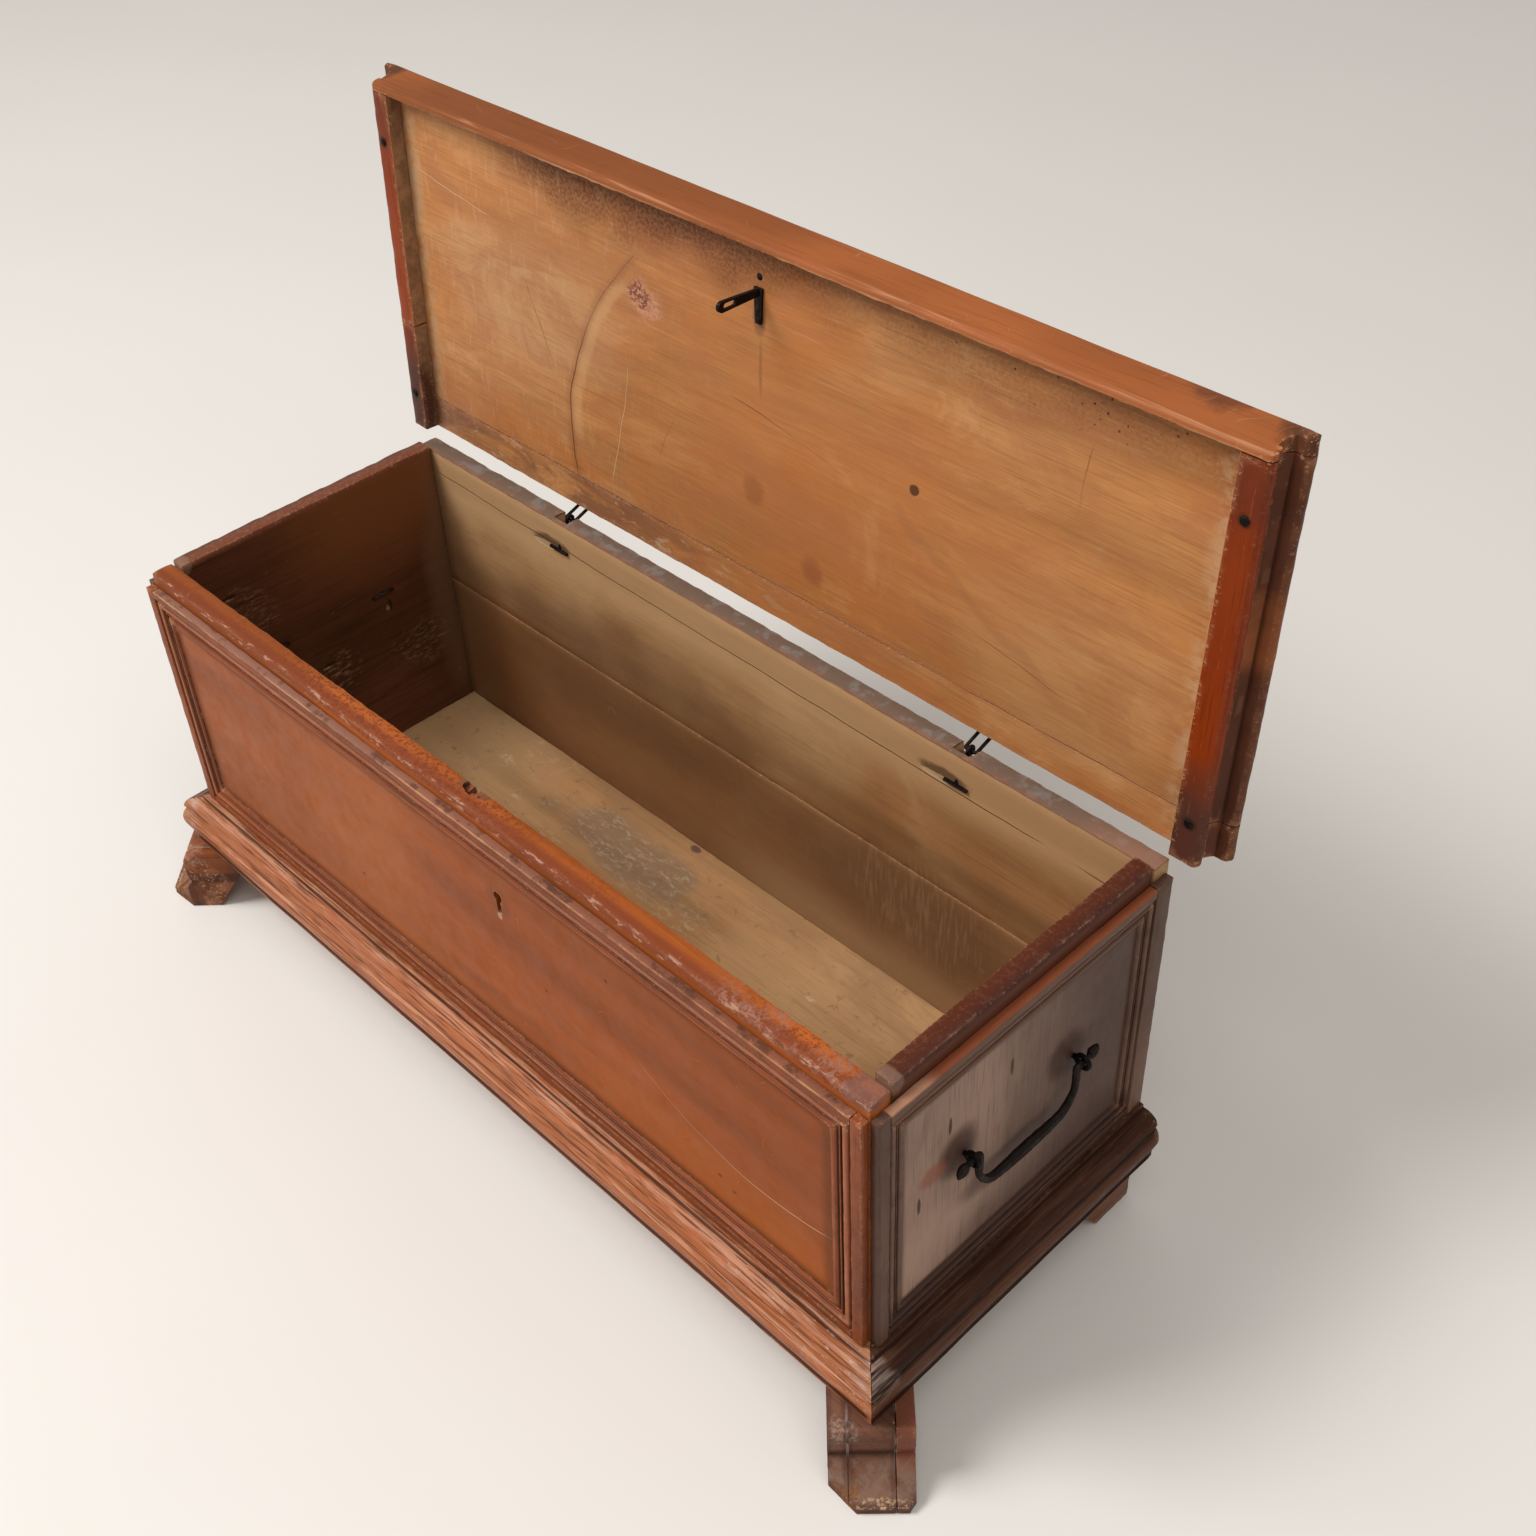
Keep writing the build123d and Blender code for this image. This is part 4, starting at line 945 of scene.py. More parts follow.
        # Painted shade round the edges of the sunk field, next to the beads.
        recess_shade = 1 - x.over(-0.528, -0.516) * x.over(0.528, 0.516) \
            * z.over(0.200, 0.214) * z.over(0.452, 0.440)
        wood.layers(
            (scratch * 0.45, (0.09, 0.028, 0.012), 0.1, -1.4),
            (pale * (x.over(0.33, 0.50) * 0.5 + 0.35), (0.62, 0.36, 0.20), 0.1),
            (recess_shade * 0.6, shade(tone, 0.36)))
        wood.age(0.3, 0.3, 0.4, 0.18)
        return wood.done(0.0005, 0.5)

    def end(self, side, sign):
        low, high = whole_box(f"{side}_front_stile", f"{side}_rear_stile")
        face = low.x if sign > 0 else high.x
        walnut = {}
        for label, grain, seed in (("stile_a", "z", 51), ("stile_b", "z", 52), ("top_rail", "y", 53),
                                   ("bottom_rail", "y", 54), ("beads", "y", 55)):
            walnut[label] = self.end_walnut(side, label, grain, seed + sign, low)
        if sign < 0:
            walnut["stile_a"], walnut["stile_b"] = walnut["stile_b"], walnut["stile_a"]

        def pose(a, b, c):
            return Vector((face + sign * c, a, b))

        nodes = {"stile_a": f"{side}_front_stile", "stile_b": f"{side}_rear_stile",
                 "top_rail": f"{side}_top_rail", "bottom_rail": f"{side}_bottom_rail",
                 "beads": f"{side}_bead_frame", "panel": f"{side}_panel"}
        field = self.field_walnut(side, 61 + sign, (low.y + high.y) / 2)
        self.frame_face(side, walnut, field, pose, (low.y, high.y), (low.z, high.z),
                        (0.016, 0.024), (0.0127, 0.011), 0.020, nodes)

    def end_walnut(self, side, label, grain, seed, low):
        """Stile, rail or bead of an end, darker and greyer than the front's; the grey carries the ends'
        painted sheen.
        """
        tone = shade(blend(self.colours.frame, self.colours.side, 0.7), 0.52)
        wood = Timber(f"{side}_{label}_walnut", grain, tone, seed, contrast=0.4)
        if label == "top_rail":
            top = wood.z.over(self.ledge - 0.004, self.ledge - 0.001)
            front = wood.spot((0, low.y, self.ledge), (0, 0.09, 0.1), 0.5)
            wood.layers((top * 0.85, (0.27, 0.070, 0.026), -0.04),
                        (top * front * 0.7, (0.48, 0.26, 0.16), 0.1))
        if label in ("bottom_rail", "beads"):
            wood.layer(wood.z.over(0.215, 0.185) * 0.8, (0.040, 0.018, 0.013))
        if label == "stile_a":
            wood.layer(wood.y.over(low.y + 0.006, low.y + 0.001) * 0.5, (0.06, 0.024, 0.016))
        wood.age(0.22, 0.35, 0.9, 0.15, 0.525, 0.58)
        return wood.done(0.0008, 0.5)

    def field_walnut(self, side, seed, middle):
        """Field of an end: dusty and grey-brown with a painted sheen, stained and with painted shadow
        about the handle's eyes, a painted shadow of the bail below them, and painted shade round its
        edges.
        """
        wood = Timber(f"{side}_panel_walnut", "z", self.colours.side, seed, contrast=0.30,
                      fade=shade(self.colours.side, 1.16))
        y, z = wood.y, wood.z
        eyes_low, eyes_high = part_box(f"{side}_handle_eyes")
        handle = (eyes_low.y + eyes_high.y) / 2
        for eye in (-0.080, 0.080):
            # Stain about each eye, together with the painted shadow of the eye and its leaf.
            stain = wood.spot((0, handle + eye - 0.010, 0.350), (0, 0.034, 0.040), 0.85, 0.5)
            wood.layer(stain * 0.85, (0.055, 0.022, 0.016), 0.05)
        # The next spot is a painted shadow of the bail, a dark stripe below its grip.
        rub = wood.spot((0, handle, 0.272), (0, 0.105, 0.028), 0.8, 0.4)
        pale = wood.spot((0, -0.125, 0.250), (0, 0.060, 0.055), 0.9, 0.5)
        rusty = wood.spot((0, handle - 0.122, 0.346), (0, 0.024, 0.018), 0.9, 0.7, FINE)
        wood.layers(
            (rub * 0.65, (0.06, 0.024, 0.018)),
            (pale * 0.45, (0.42, 0.27, 0.20)),
            (z.over(0.26, 0.20) * y.over(-0.12, -0.04) * 0.6, (0.065, 0.030, 0.022)),
            (y.over(-0.06, 0.11) * 0.84, (0.066, 0.034, 0.026)),
            (rusty * 0.7, (0.26, 0.075, 0.035)))
        for along, height in ((-0.105, 0.395), (-0.145, 0.318), (-0.02, 0.405)):
            nick = wood.spot((0, middle + along, height), (0, 0.0025, 0.014), 0.6, 1.1, FINE)
            wood.layer(nick * 0.85, (0.04, 0.018, 0.012), 0.1, -1.2)
        # Painted shade round the edges of the sunk field, next to the beads.
        recess_shade = 1 - z.over(0.191, 0.199) * z.over(0.4585, 0.450) \
            * (y - middle).over(-0.170, -0.162) * (y - middle).over(0.162, 0.154)
        smoky = wood.noise(11, 4, 0.6, 0.5, (1, 1, 0.35), (3, 1, 6))
        wood.layers((recess_shade * 0.8, (0.04, 0.02, 0.014)),
                    (smoky.over(0.50, 0.66) * 0.35, (0.13, 0.070, 0.052)))
        wood.age(0.2, 0.2, 0.3, 0.1)
        return wood.done(0.0006, 0.5)


class CASSONE_OT_plinth(Maker):
    """Base moulding, mitred at the front corners"""
    bl_idname = "cassone.plinth"
    bl_label = "Plinth"

    def make(self):
        low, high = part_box("plinth_front")
        foot, top = low.z, high.z
        points = section(
            (0, foot), (0.031, foot), ((0.0322, foot + 0.001), (0.032, foot + 0.003)),
            (0.032, top - 0.061), ((0.0315, top - 0.0603), (0.030, top - 0.060)), (0.0298, top - 0.058),
            (0.0325, top - 0.0577), ((0.0338, top - 0.057), (0.0342, top - 0.0555)),
            ((0.0375, top - 0.034), (0.0325, top - 0.023)), (0.0305, top - 0.0218), (0.0322, top - 0.0205),
            ((0.0342, top - 0.0195), (0.0340, top - 0.0175)),
            ((0.0287, top - 0.0085), (0.0150, top - 0.0048)), (0.0138, top - 0.0042),
            ((0.0142, top - 0.0020), (0.0128, top - 0.0005)), (0.0, top), arc=9)
        front_y, back = high.y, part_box("plinth_right")[1].y

        def front_place(u, v, end):
            return Vector(((HALF_LENGTH + u) * (1 if end else -1), front_y - u, v))

        runs = [("plinth_front", front_place, 2 * HALF_LENGTH, 0)]
        for name, sign in (("plinth_right", 1), ("plinth_left", -1)):
            def end_place(u, v, end, sign=sign):
                return Vector((sign * (HALF_LENGTH + u), back if end else front_y - u, v))
            runs.append((name, end_place, back - front_y, 1))
        for name, place, run, axis in runs:
            piece = moulding(f"{name}_worn", points, place, run, 0.006, axis)
            weather(piece, 0.0014, 0.0014, 0.012)
            walnut = self.moulded_walnut(name, axis == 0, top, front_y)
            finish_piece(piece, walnut, "chest", "plinth_walnut", name)

    def moulded_walnut(self, name, in_front, top, front_y):
        """Streaked moulding, rubbed and dusty, with painted highlights along its crests; the ends are
        dark, hardly rubbed and barely highlighted.
        """
        tone = self.colours.plinth if in_front else shade(self.colours.plinth, 0.11)
        wood = Timber(f"{name}_walnut", "x" if in_front else "y", tone, 71 + len(name), contrast=0.5,
                      fade=blend(tone, self.colours.rubbed, 0.15 if in_front else 0.03))
        z = wood.z
        along = (0.07, 1, 1) if in_front else (1, 0.07, 1)
        fine = (0.03, 1, 1) if in_front else (1, 0.03, 1)
        strong = 1.0 if in_front else 0.09
        streaky = wood.noise(130, 3, 0.7, 0, along, (7, 1, 2))
        broad = wood.noise(40, 3, 0.7, 0, along, (3, 5, 2))
        hair = wood.noise(420, 2, 0.6, 0, fine, (1, 7, 4))
        flecks = wood.noise(150, 3, 0.75, 0, (0.4, 1, 1), (2, 8, 2)).over(0.58, 0.66)
        dusty = wood.x.over(0.25, 0.56) * 0.5 + 0.12 if in_front else 0.3
        torus = z.over(top - 0.022, top - 0.019) * z.over(top - 0.0045, top - 0.007)
        body = z.over(top - 0.058, top - 0.050) * z.over(top - 0.026, top - 0.034)
        wood.layers(
            (torus * broad.over(0.40, 0.62) * 0.45 * strong, (0.44, 0.160, 0.070), 0.1),
            (torus * streaky.over(0.55, 0.66) * strong * dusty, (0.58, 0.37, 0.27), 0.2, -0.4),
            (body * (0.8 if in_front else 0.16), (0.40, 0.115, 0.034), -0.04))
        # Painted highlights along the three crests of the moulding.
        for crest, reach, share in ((top - 0.0295, 0.0036, 0.9), (top - 0.0050, 0.0022, 0.8),
                                    (top - 0.0012, 0.0016, 0.8)):
            crest_highlight = abs(z - crest).over(reach, reach * 0.3)
            wood.layer(crest_highlight * streaky.over(0.40, 0.56) * share * 0.75 * strong, (0.60, 0.31, 0.19), 0.05)
        wood.layers(
            (body * streaky.over(0.58, 0.68) * 0.6 * strong, (0.10, 0.035, 0.020), 0.1, -0.3),
            (hair.over(0.45, 0.36) * 0.65, (0.06, 0.020, 0.012), 0.1, -0.5),
            (hair.over(0.60, 0.68) * 0.4 * strong, (0.60, 0.34, 0.22), 0.1),
            (flecks * broad.over(0.48, 0.60) * strong * dusty, (0.60, 0.45, 0.38), 0.2, -0.4))
        for seam, tint in ((top - 0.0212, (0.03, 0.013, 0.010)), (top - 0.0590, (0.02, 0.010, 0.008))):
            line = wood.crack(wood.x if in_front else wood.y, z, (seam, 0.0), 0.0016, -0.62, 0.62, 0.002)
            wood.layer(line * 0.9, tint, 0.2, -1.5)
        for corner in (-1, 1):
            chip = wood.spot((corner * 0.596, front_y - 0.021, top - 0.022), (0.030, 0.030, 0.026),
                             0.9, 0.9, FINE)
            wood.layer(chip * streaky.over(0.42, 0.60) * 0.5, (0.58, 0.44, 0.37), 0.3, -0.4)
        wood.age(0.7 if in_front else 0.2, 0.9 if in_front else 0.35, 0.85, 0.15)
        return wood.done(0.0016, 0.8)


class CASSONE_OT_feet(Maker):
    """Splayed front feet of a core and two cheeks, and plain rear feet"""
    bl_idname = "cassone.feet"
    bl_label = "Feet"

    def make(self):
        self.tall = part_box("plinth_front")[0].z
        for side, sign in (("left", -1), ("right", 1)):
            self.front_foot(side, sign)
        for side, sign in (("left", -1), ("right", 1)):
            self.rear_foot(side, sign)

    def front_foot(self, side, sign):
        """Foot that points out at 45 degrees, its toe worn off at both corners."""
        tall, toe, seam, cheek = self.tall, 0.088, 0.0232, 0.043
        outline = section(
            (-0.030, tall), (-0.030, tall * 0.8), ((-0.004, tall * 0.42), (0.018, 0.0)), (0.086, 0.0),
            ((toe, 0.0008), (toe, 0.0025)), (toe, 0.0085), ((0.0877, 0.0102), (0.0862, 0.0108)),
            ((0.0688, 0.0235), (0.0535, 0.0400)), ((0.0500, 0.0435), (0.0505, 0.0475)),
            ((0.0535, 0.058), (0.0535, 0.066)), (0.0535, 0.078), ((0.0508, 0.0853), (0.044, 0.0878)),
            arc=8, spacing=0.0045)
        forward = Vector((sign, -1, 0)).normalized()
        across = forward.cross(Vector((0, 0, 1)))
        origin = Vector((sign * HALF_LENGTH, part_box("front_board")[0].y, 0))
        made = []
        for label, inner, outer, flip, cut in (
            ("core", -0.023, 0.023, 1, ((toe, 0.016), (0.058, cheek))),
            ("plain", seam, cheek, -sign, ((toe, -0.0365), (0.078, -cheek))),
            ("worn", seam, cheek, sign, ((toe, 0.016), (0.058, cheek))),
        ):
            def place(u, v, end, inner=inner, outer=outer, flip=flip):
                aside = (outer if end else inner) * flip
                return origin + forward * u + across * aside + Vector((0, 0, v))

            piece = moulding(f"front_{side}_foot_{label}_built", outline, place, outer - inner, 0.0045, 0)
            edit_all(piece)
            first, second = (origin + forward * out + across * (aside * sign) for out, aside in cut)
            normal = (second - first).cross(Vector((0, 0, 1))).normalized()
            if normal.dot(forward) < 0:
                normal = -normal
            bpy.ops.mesh.bisect(plane_co=first, plane_no=normal, use_fill=True, clear_outer=True)
            bpy.ops.mesh.select_all(action="SELECT")
            bpy.ops.mesh.normals_make_consistent(inside=False)
            bpy.ops.object.mode_set(mode="OBJECT")
            ease(piece, 0.0009, 0.9)
            weather(piece, 0.0010, 0.0012, 0.010)
            made.append(piece)
        cheeks = join(made[1:], f"front_{side}_foot_cheeks_built")
        for piece, label, seed in ((made[0], "core", 81), (cheeks, "cheeks", 84)):
            node = f"front_{side}_foot_{label}"
            walnut = self.foot_walnut(node, seed + sign, sign, origin, forward, across)
            finish_piece(piece, walnut, "chest", "plinth_walnut", node)

    def foot_walnut(self, node, seed, sign, origin, forward, across):
        """Battered foot: raw toe, glue along the joints, painted shade in the hollow under the shoulder,
        and the right one darker and dustier.
        """
        tone = (0.150, 0.062, 0.036) if sign > 0 else self.colours.foot
        wood = Timber(f"{node}_walnut", "x" if sign > 0 else "y", tone, seed, contrast=0.5,
                      fade=blend(tone, (0.27, 0.13, 0.085), 0.6))
        x, y, z = wood.x, wood.y, wood.z
        # Painted shade in the hollow under the shoulder.
        under = z.over(0.040, 0.046) * z.over(0.062, 0.054)
        sweep = z.over(0.044, 0.034) * z.over(0.008, 0.014) * wood.mottle.over(0.35, 0.6)
        place = origin + forward * 0.078 + across * (0.032 * sign)
        raw = wood.spot((place.x, place.y, 0.010), (0.026, 0.026, 0.020), 0.7, 1.2, FINE)
        place = origin + forward * 0.088
        lip = wood.spot((place.x, place.y, 0.0115), (0.045, 0.045, 0.005), 0.6, 1.2, FINE)
        place = origin + forward * 0.045 + across * (0.030 * sign)
        white = wood.spot((place.x, place.y, 0.080), (0.020, 0.020, 0.013), 0.7, 1.3, FINE)
        wood.layers(
            (under * 0.75, (0.035, 0.015, 0.011)),
            (sweep * (0.65 if sign > 0 else 0.15), (0.25, 0.155, 0.110), 0.1),
            (z.over(0.0125, 0.009) * 0.7, (0.11, 0.062, 0.048), 0.2),
            (raw * wood.speckle.over(0.34, 0.56) * 0.85, (0.36, 0.135, 0.046), 0.3, -0.7),
            (lip * wood.speckle.over(0.46, 0.58) * 0.9, (0.55, 0.34, 0.2), 0.3, -0.7),
            (white * wood.speckle.over(0.40, 0.62) * 0.35, (0.50, 0.40, 0.34), 0.3, -0.3))
        if "cheeks" in node:
            red = wood.spot((origin.x + sign * 0.06, origin.y, 0.07), (0.05, 0.05, 0.05), 0.7, 0.4)
            wood.layer(red * 0.5, (0.22, 0.055, 0.028), -0.05)
        aside = (x - origin.x) * across.x + (y - origin.y) * across.y
        glue = abs(abs(aside) - 0.0232).over(0.0016, 0.0006) * wood.mottle.over(0.40, 0.52)
        wood.layer(glue * z.over(0.03, 0.06) * 0.8, (0.55, 0.42, 0.36), 0.1)
        wood.age(0.5, 0.8, 0.35, 0.2)
        return wood.done(0.0016, 0.8)

    def rear_foot(self, side, sign):
        """Plain bracket foot with a swept front."""
        low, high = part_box(f"rear_{side}_foot")
        tall = self.tall
        points = section(
            (high.y, 0.0), (high.y, tall), (low.y, tall), (low.y, tall - 0.030),
            ((low.y + 0.010, tall / 3), (low.y + 0.030, 0.0)), arc=10, spacing=0.006)

        def place(u, v, end):
            return Vector((high.x if end else low.x, u, v))

        piece = moulding(f"rear_{side}_foot_block", points, place, high.x - low.x, 0.006, 0)
        ease(piece, 0.0016, 0.9)
        weather(piece, 0.001, 0.002, 0.012)
        wood = Timber(f"rear_{side}_foot_walnut", "y", shade(self.colours.foot, 0.7), 91 + sign,
                      contrast=0.5)
        wood.layer(wood.z.over(0.012, 0.002) * 0.5, (0.25, 0.17, 0.12), 0.2)
        wood.age(0.6, 0.7, 0.5, 0.5)
        finish_piece(piece, wood.done(0.0014, 0.7), "chest", "plinth_walnut", f"rear_{side}_foot")


class CASSONE_OT_lid(Maker):
    """Lid board, hinge strip, front lip and end battens"""
    bl_idname = "cassone.lid"
    bl_label = "Lid"

    def make(self):
        lid = self.lid
        flat = self.profile(section(*self.edge()))
        pieces = []
        for name, start, stop, seed in (
            ("lid_board", lid.lip_inner + 0.0001, lid.strip_seam - 0.0006, 101),
            ("lid_hinge_strip", lid.strip_seam, lid.rear, 104),
        ):
            def place(u, v, end, start=start, stop=stop):
                return Vector((u, stop if end else start, v))
            piece = moulding(f"{name}_worn", flat, place, stop - start, 0.009, 1)
            wood = self.inside_timber(f"{name}_timber", seed)
            if name == "lid_hinge_strip":
                self.rough_strip(wood)
            wood.age(0.5, 0.7, 0.7, 0.12)
            pieces.append((piece, wood.done(0.0009, 0.55), name, 0.0012, 0.0016))
        pieces.append((self.lip(), self.lip_walnut(), "lid_front_lip", 0.0010, 0.0020))
        inner, outer, under = lid.batten_inner, lid.batten_outer, lid.under
        low, high = lid.skirt, lid.skirt + 0.014
        points = section(
            (inner, low), (outer - 0.007, low), ((outer, low + 0.007), (outer - 0.0023, high)),
            (outer - 0.006, high), (outer - 0.006, under), (inner, under), spacing=0.006)
        for name, sign, start, stop, seed in (
            ("lid_right_batten", 1, lid.lip_inner, lid.batten_rear, 111),
            ("lid_left_batten_front", -1, lid.lip_inner, lid.batten_joint, 113),
            ("lid_left_batten_rear", -1, lid.batten_joint + 0.0006, lid.batten_rear, 115),
        ):
            def place(u, v, end, sign=sign, start=start, stop=stop):
                return Vector((sign * u, stop if end else start, v))
            piece = moulding(f"{name}_worn", points, place, stop - start, 0.007, 1)
            pieces.append((piece, self.batten_walnut(name, seed, sign), name, 0.0009, 0.0018))
        for piece, material, node, sag, dents in pieces:
            weather(piece, sag, dents)
            lean_back(piece)
            finish_piece(piece, material, "lid", "lid_walnut", node)

    def edge(self):
        """Half of the moulded edge, from the underside round the nose to the top."""
        lid = self.lid
        nose = lid.top - 0.016
        outer, under = lid.batten_outer, lid.under
        return [(outer - 0.006, under), ((outer - 0.003, (under + nose * 2) / 3), (outer, nose)),
                (lid.nose_side - 0.007, nose), ((lid.nose_side - 0.0005, nose + 0.008),
                                                (lid.nose_side - 0.007, lid.top - 0.0002))]

    def profile(self, half):
        """Section across the whole lid from its right half."""
        return resample(half + [(-x, z) for x, z in reversed(half)], 0.009)

    def lip(self):
        """Front lip, its ends shaped like the board's moulded ends with the skirts under them."""
        lid = self.lid
        skirt, outer, nose, top = lid.skirt, lid.lip_outer, lid.nose_front, lid.top
        points = section(
            (lid.lip_inner, skirt), (outer + 0.007, skirt),
            ((outer + 0.00205, skirt + 0.00205), (outer, skirt + 0.007)), (nose + 0.0002, top - 0.008),
            ((nose + 0.0025, top - 0.0023), (nose + 0.008, top - 0.0002)), (lid.lip_inner, top),
            spacing=0.006)

        def lip_place(u, v, end):
            return Vector((lid.nose_side if end else -lid.nose_side, u, v))

        def shaper_place(u, v, end):
            return Vector((u, lid.lip_inner + 0.02 if end else nose - 0.02, v))

        lip = moulding("lid_front_lip_worn", points, lip_place, 2 * lid.nose_side, 0.009, 0)
        end = lid.batten_outer
        skirted = section((end - 0.007, skirt), ((end, skirt + 0.007), (end - 0.0023, skirt + 0.014)),
                          (end - 0.006, skirt + 0.014), *self.edge())
        shaper = moulding("lip_shaper", self.profile(skirted), shaper_place, 0.08, 0.05, 1)
        cut_away(lip, shaper, operation="INTERSECT")
        return lip

    def inside_timber(self, name, seed):
        """Bare inside of the lid, tan with darker stains and splits, and its polished outside."""
        colours, lid = self.colours, self.lid
        wood = Timber(name, "x", colours.lid_inside, seed, True, 0.34, (0.53, 0.250, 0.096), 0.8)
        x, y, z = wood.x, wood.y, wood.z
        warm = wood.noise(4.2, 4, 0.6, 0.8, (0.55, 1, 1), (5, 3, 0)).over(0.42, 0.62)
        feather = wood.noise(10, 6, 0.68, 0.9, (0.5, 1, 1), (2, 7, 0))
        flame = wood.noise(2.6, 1, 0.5, 2.0, (0.7, 2.2, 1), (1, 9, 0))
        grime = (y + (wood.ripple - 0.5) * 0.07 + (feather - 0.5) * 0.04).over(-0.152, -0.208)
        reach = x.over(-0.46, -0.30) * (1 - x.over(-0.10, 0.25) * 0.5) \
            * (wood.speckle.over(0.62, 0.36) * 0.4 + 0.6)
        knot = wood.spot((-0.165, -0.109, 0), (0.034, 0.028, 0), 0.9, 1.0, FINE)
        heart = wood.spot((-0.172, -0.116, 0), (0.020, 0.017, 0), 0.8, 1.6, FINE)
        rays = wood.noise(300, 3, 0.6, 0.3, (0.5, 0.10, 1))
        hair = wood.noise(300, 3, 0.7, 0.4, (0.05, 1, 1), (2, 3, 8))
        wood.layers(
            (warm * 0.75, colours.lid_orange),
            (wood.spot((-0.36, -0.05, 0), (0.20, 0.10, 0), 0.9, 0.5) * 0.6, (0.54, 0.30, 0.14)),
            (wood.spot((0.42, 0.08, 0), (0.16, 0.13, 0), 0.9, 0.5) * 0.6, (0.52, 0.27, 0.11)),
            (wood.spot((0.02, 0.06, 0), (0.32, 0.05, 0), 0.9, 0.6) * 0.45, (0.38, 0.145, 0.055)),
            (feather.over(0.48, 0.60) * 0.52, (0.39, 0.150, 0.060)),
            (feather.over(0.45, 0.32) * 0.40, (0.64, 0.34, 0.145)),
            (flame.over(0.50, 0.54) * flame.over(0.62, 0.55) * 0.20, shade(colours.lid_orange, 0.75)),
            (grime * reach * 0.9, (0.095, 0.028, 0.014), 0.1),
            (wood.spot((0.003, 0.050, 0), (0.020, 0.022, 0), 0.9, 0.8, FINE) * 0.6, (0.20, 0.075, 0.032)),
            (wood.spot((0.089, 0.112, 0), (0.020, 0.024, 0), 0.9, 0.8, FINE) * 0.6, (0.25, 0.07, 0.035)),
            (knot * wood.speckle.over(0.36, 0.56) * 0.7, (0.60, 0.29, 0.19), 0.1),
            (heart * wood.speckle.over(0.56, 0.47) * 0.9, (0.17, 0.045, 0.030), 0.1, -0.9),
            (rays.over(0.55, 0.68) * x.over(0.0, -0.35) * 0.16, (0.66, 0.44, 0.24)),
            (hair.over(0.50, 0.38) * 0.19, (0.27, 0.095, 0.036), 0.05, -0.3),
            (hair.over(0.58, 0.70) * 0.15, (0.70, 0.42, 0.21)),
            (wood.spot((0.12, 0.0, 0), (0.36, 0.16, 0), 0.9, 0.6) * 0.38, (0.47, 0.165, 0.052)))
        # Painted shade along the split and a painted highlight beside it, as if the board were bowed along
        # it.
        start, *bends = -0.2826, -0.377, 1.816
        shadow = wood.crack(y, x, (start, *bends), 0.012, -0.16, 0.155, 0.02)
        light = wood.crack(y, x, (start + 0.012, *bends), 0.012, -0.12, 0.10, 0.02)
        split = wood.crack(y, x, (start, *bends), 0.0013, -0.155, 0.150, 0.014)
        wood.layers(
            (shadow * 0.28, (0.24, 0.095, 0.040)),
            (light * 0.3, (0.68, 0.40, 0.19)),
            (split * (wood.patches.over(0.40, 0.56) * 0.6 + 0.25), (0.085, 0.032, 0.016), 0.1, -1.6))
        for along, across, terms, low, high, width, tint in (
            (y, x, (-0.340, 0.55, 2.1), -0.065, 0.015, 0.0009, (0.18, 0.07, 0.03)),
            (x, y, (-0.045, 0.05, 1.2), -0.03, 0.20, 0.0011, (0.20, 0.08, 0.035)),
            (y, x, (-0.115, -0.42), -0.09, 0.07, 0.0009, (0.30, 0.12, 0.05)),
            (y, x, (0.401, -0.16), -0.165, -0.078, 0.0012, (0.22, 0.09, 0.04)),
            (x, y, (-0.0446, 0.188), -0.56, -0.43, 0.0008, (0.70, 0.46, 0.26)),
            (y, x, (-0.200, -0.25), -0.02, 0.13, 0.0010, (0.66, 0.42, 0.22)),
            (x, y, (0.020, 0.19), 0.16, 0.42, 0.0010, (0.28, 0.12, 0.05)),
        ):
            line = wood.crack(along, across, terms, width, low, high, 0.02)
            wood.layer(line * wood.patches.over(0.34, 0.48) * 0.7, tint, 0.05, -0.8)
        swirl = wood.crack(x, y, (-0.115, 0.52), 0.012, 0.20, 0.46, 0.05)
        eye = wood.spot((0.225, -0.042, 0), (0.007, 0.007, 0), 0.6, 1.0, FINE)
        rust = wood.spot((HASP_X, -0.150, 0), (0.012, 0.024, 0), 0.9, 0.5, FINE)
        drip = wood.spot((0.013, -0.095, 0), (0.003, 0.040, 0), 0.9, 0.5, FINE)
        holes = wood.cells(105, (1, 5, 0)).over(0.16, 0.10) * y.over(-0.165, -0.205) * x.over(0.10, 0.30)
        right_end = x.over(0.545, 0.568) * wood.mottle.over(0.40, 0.6)
        left_end = x.over(-0.545, -0.565) * wood.mottle.over(0.35, 0.6)
        outside = z.over(lid.under + 0.001, lid.under + 0.003)
        ends = abs(x).over(lid.batten_inner - 0.002, lid.batten_inner + 0.004)
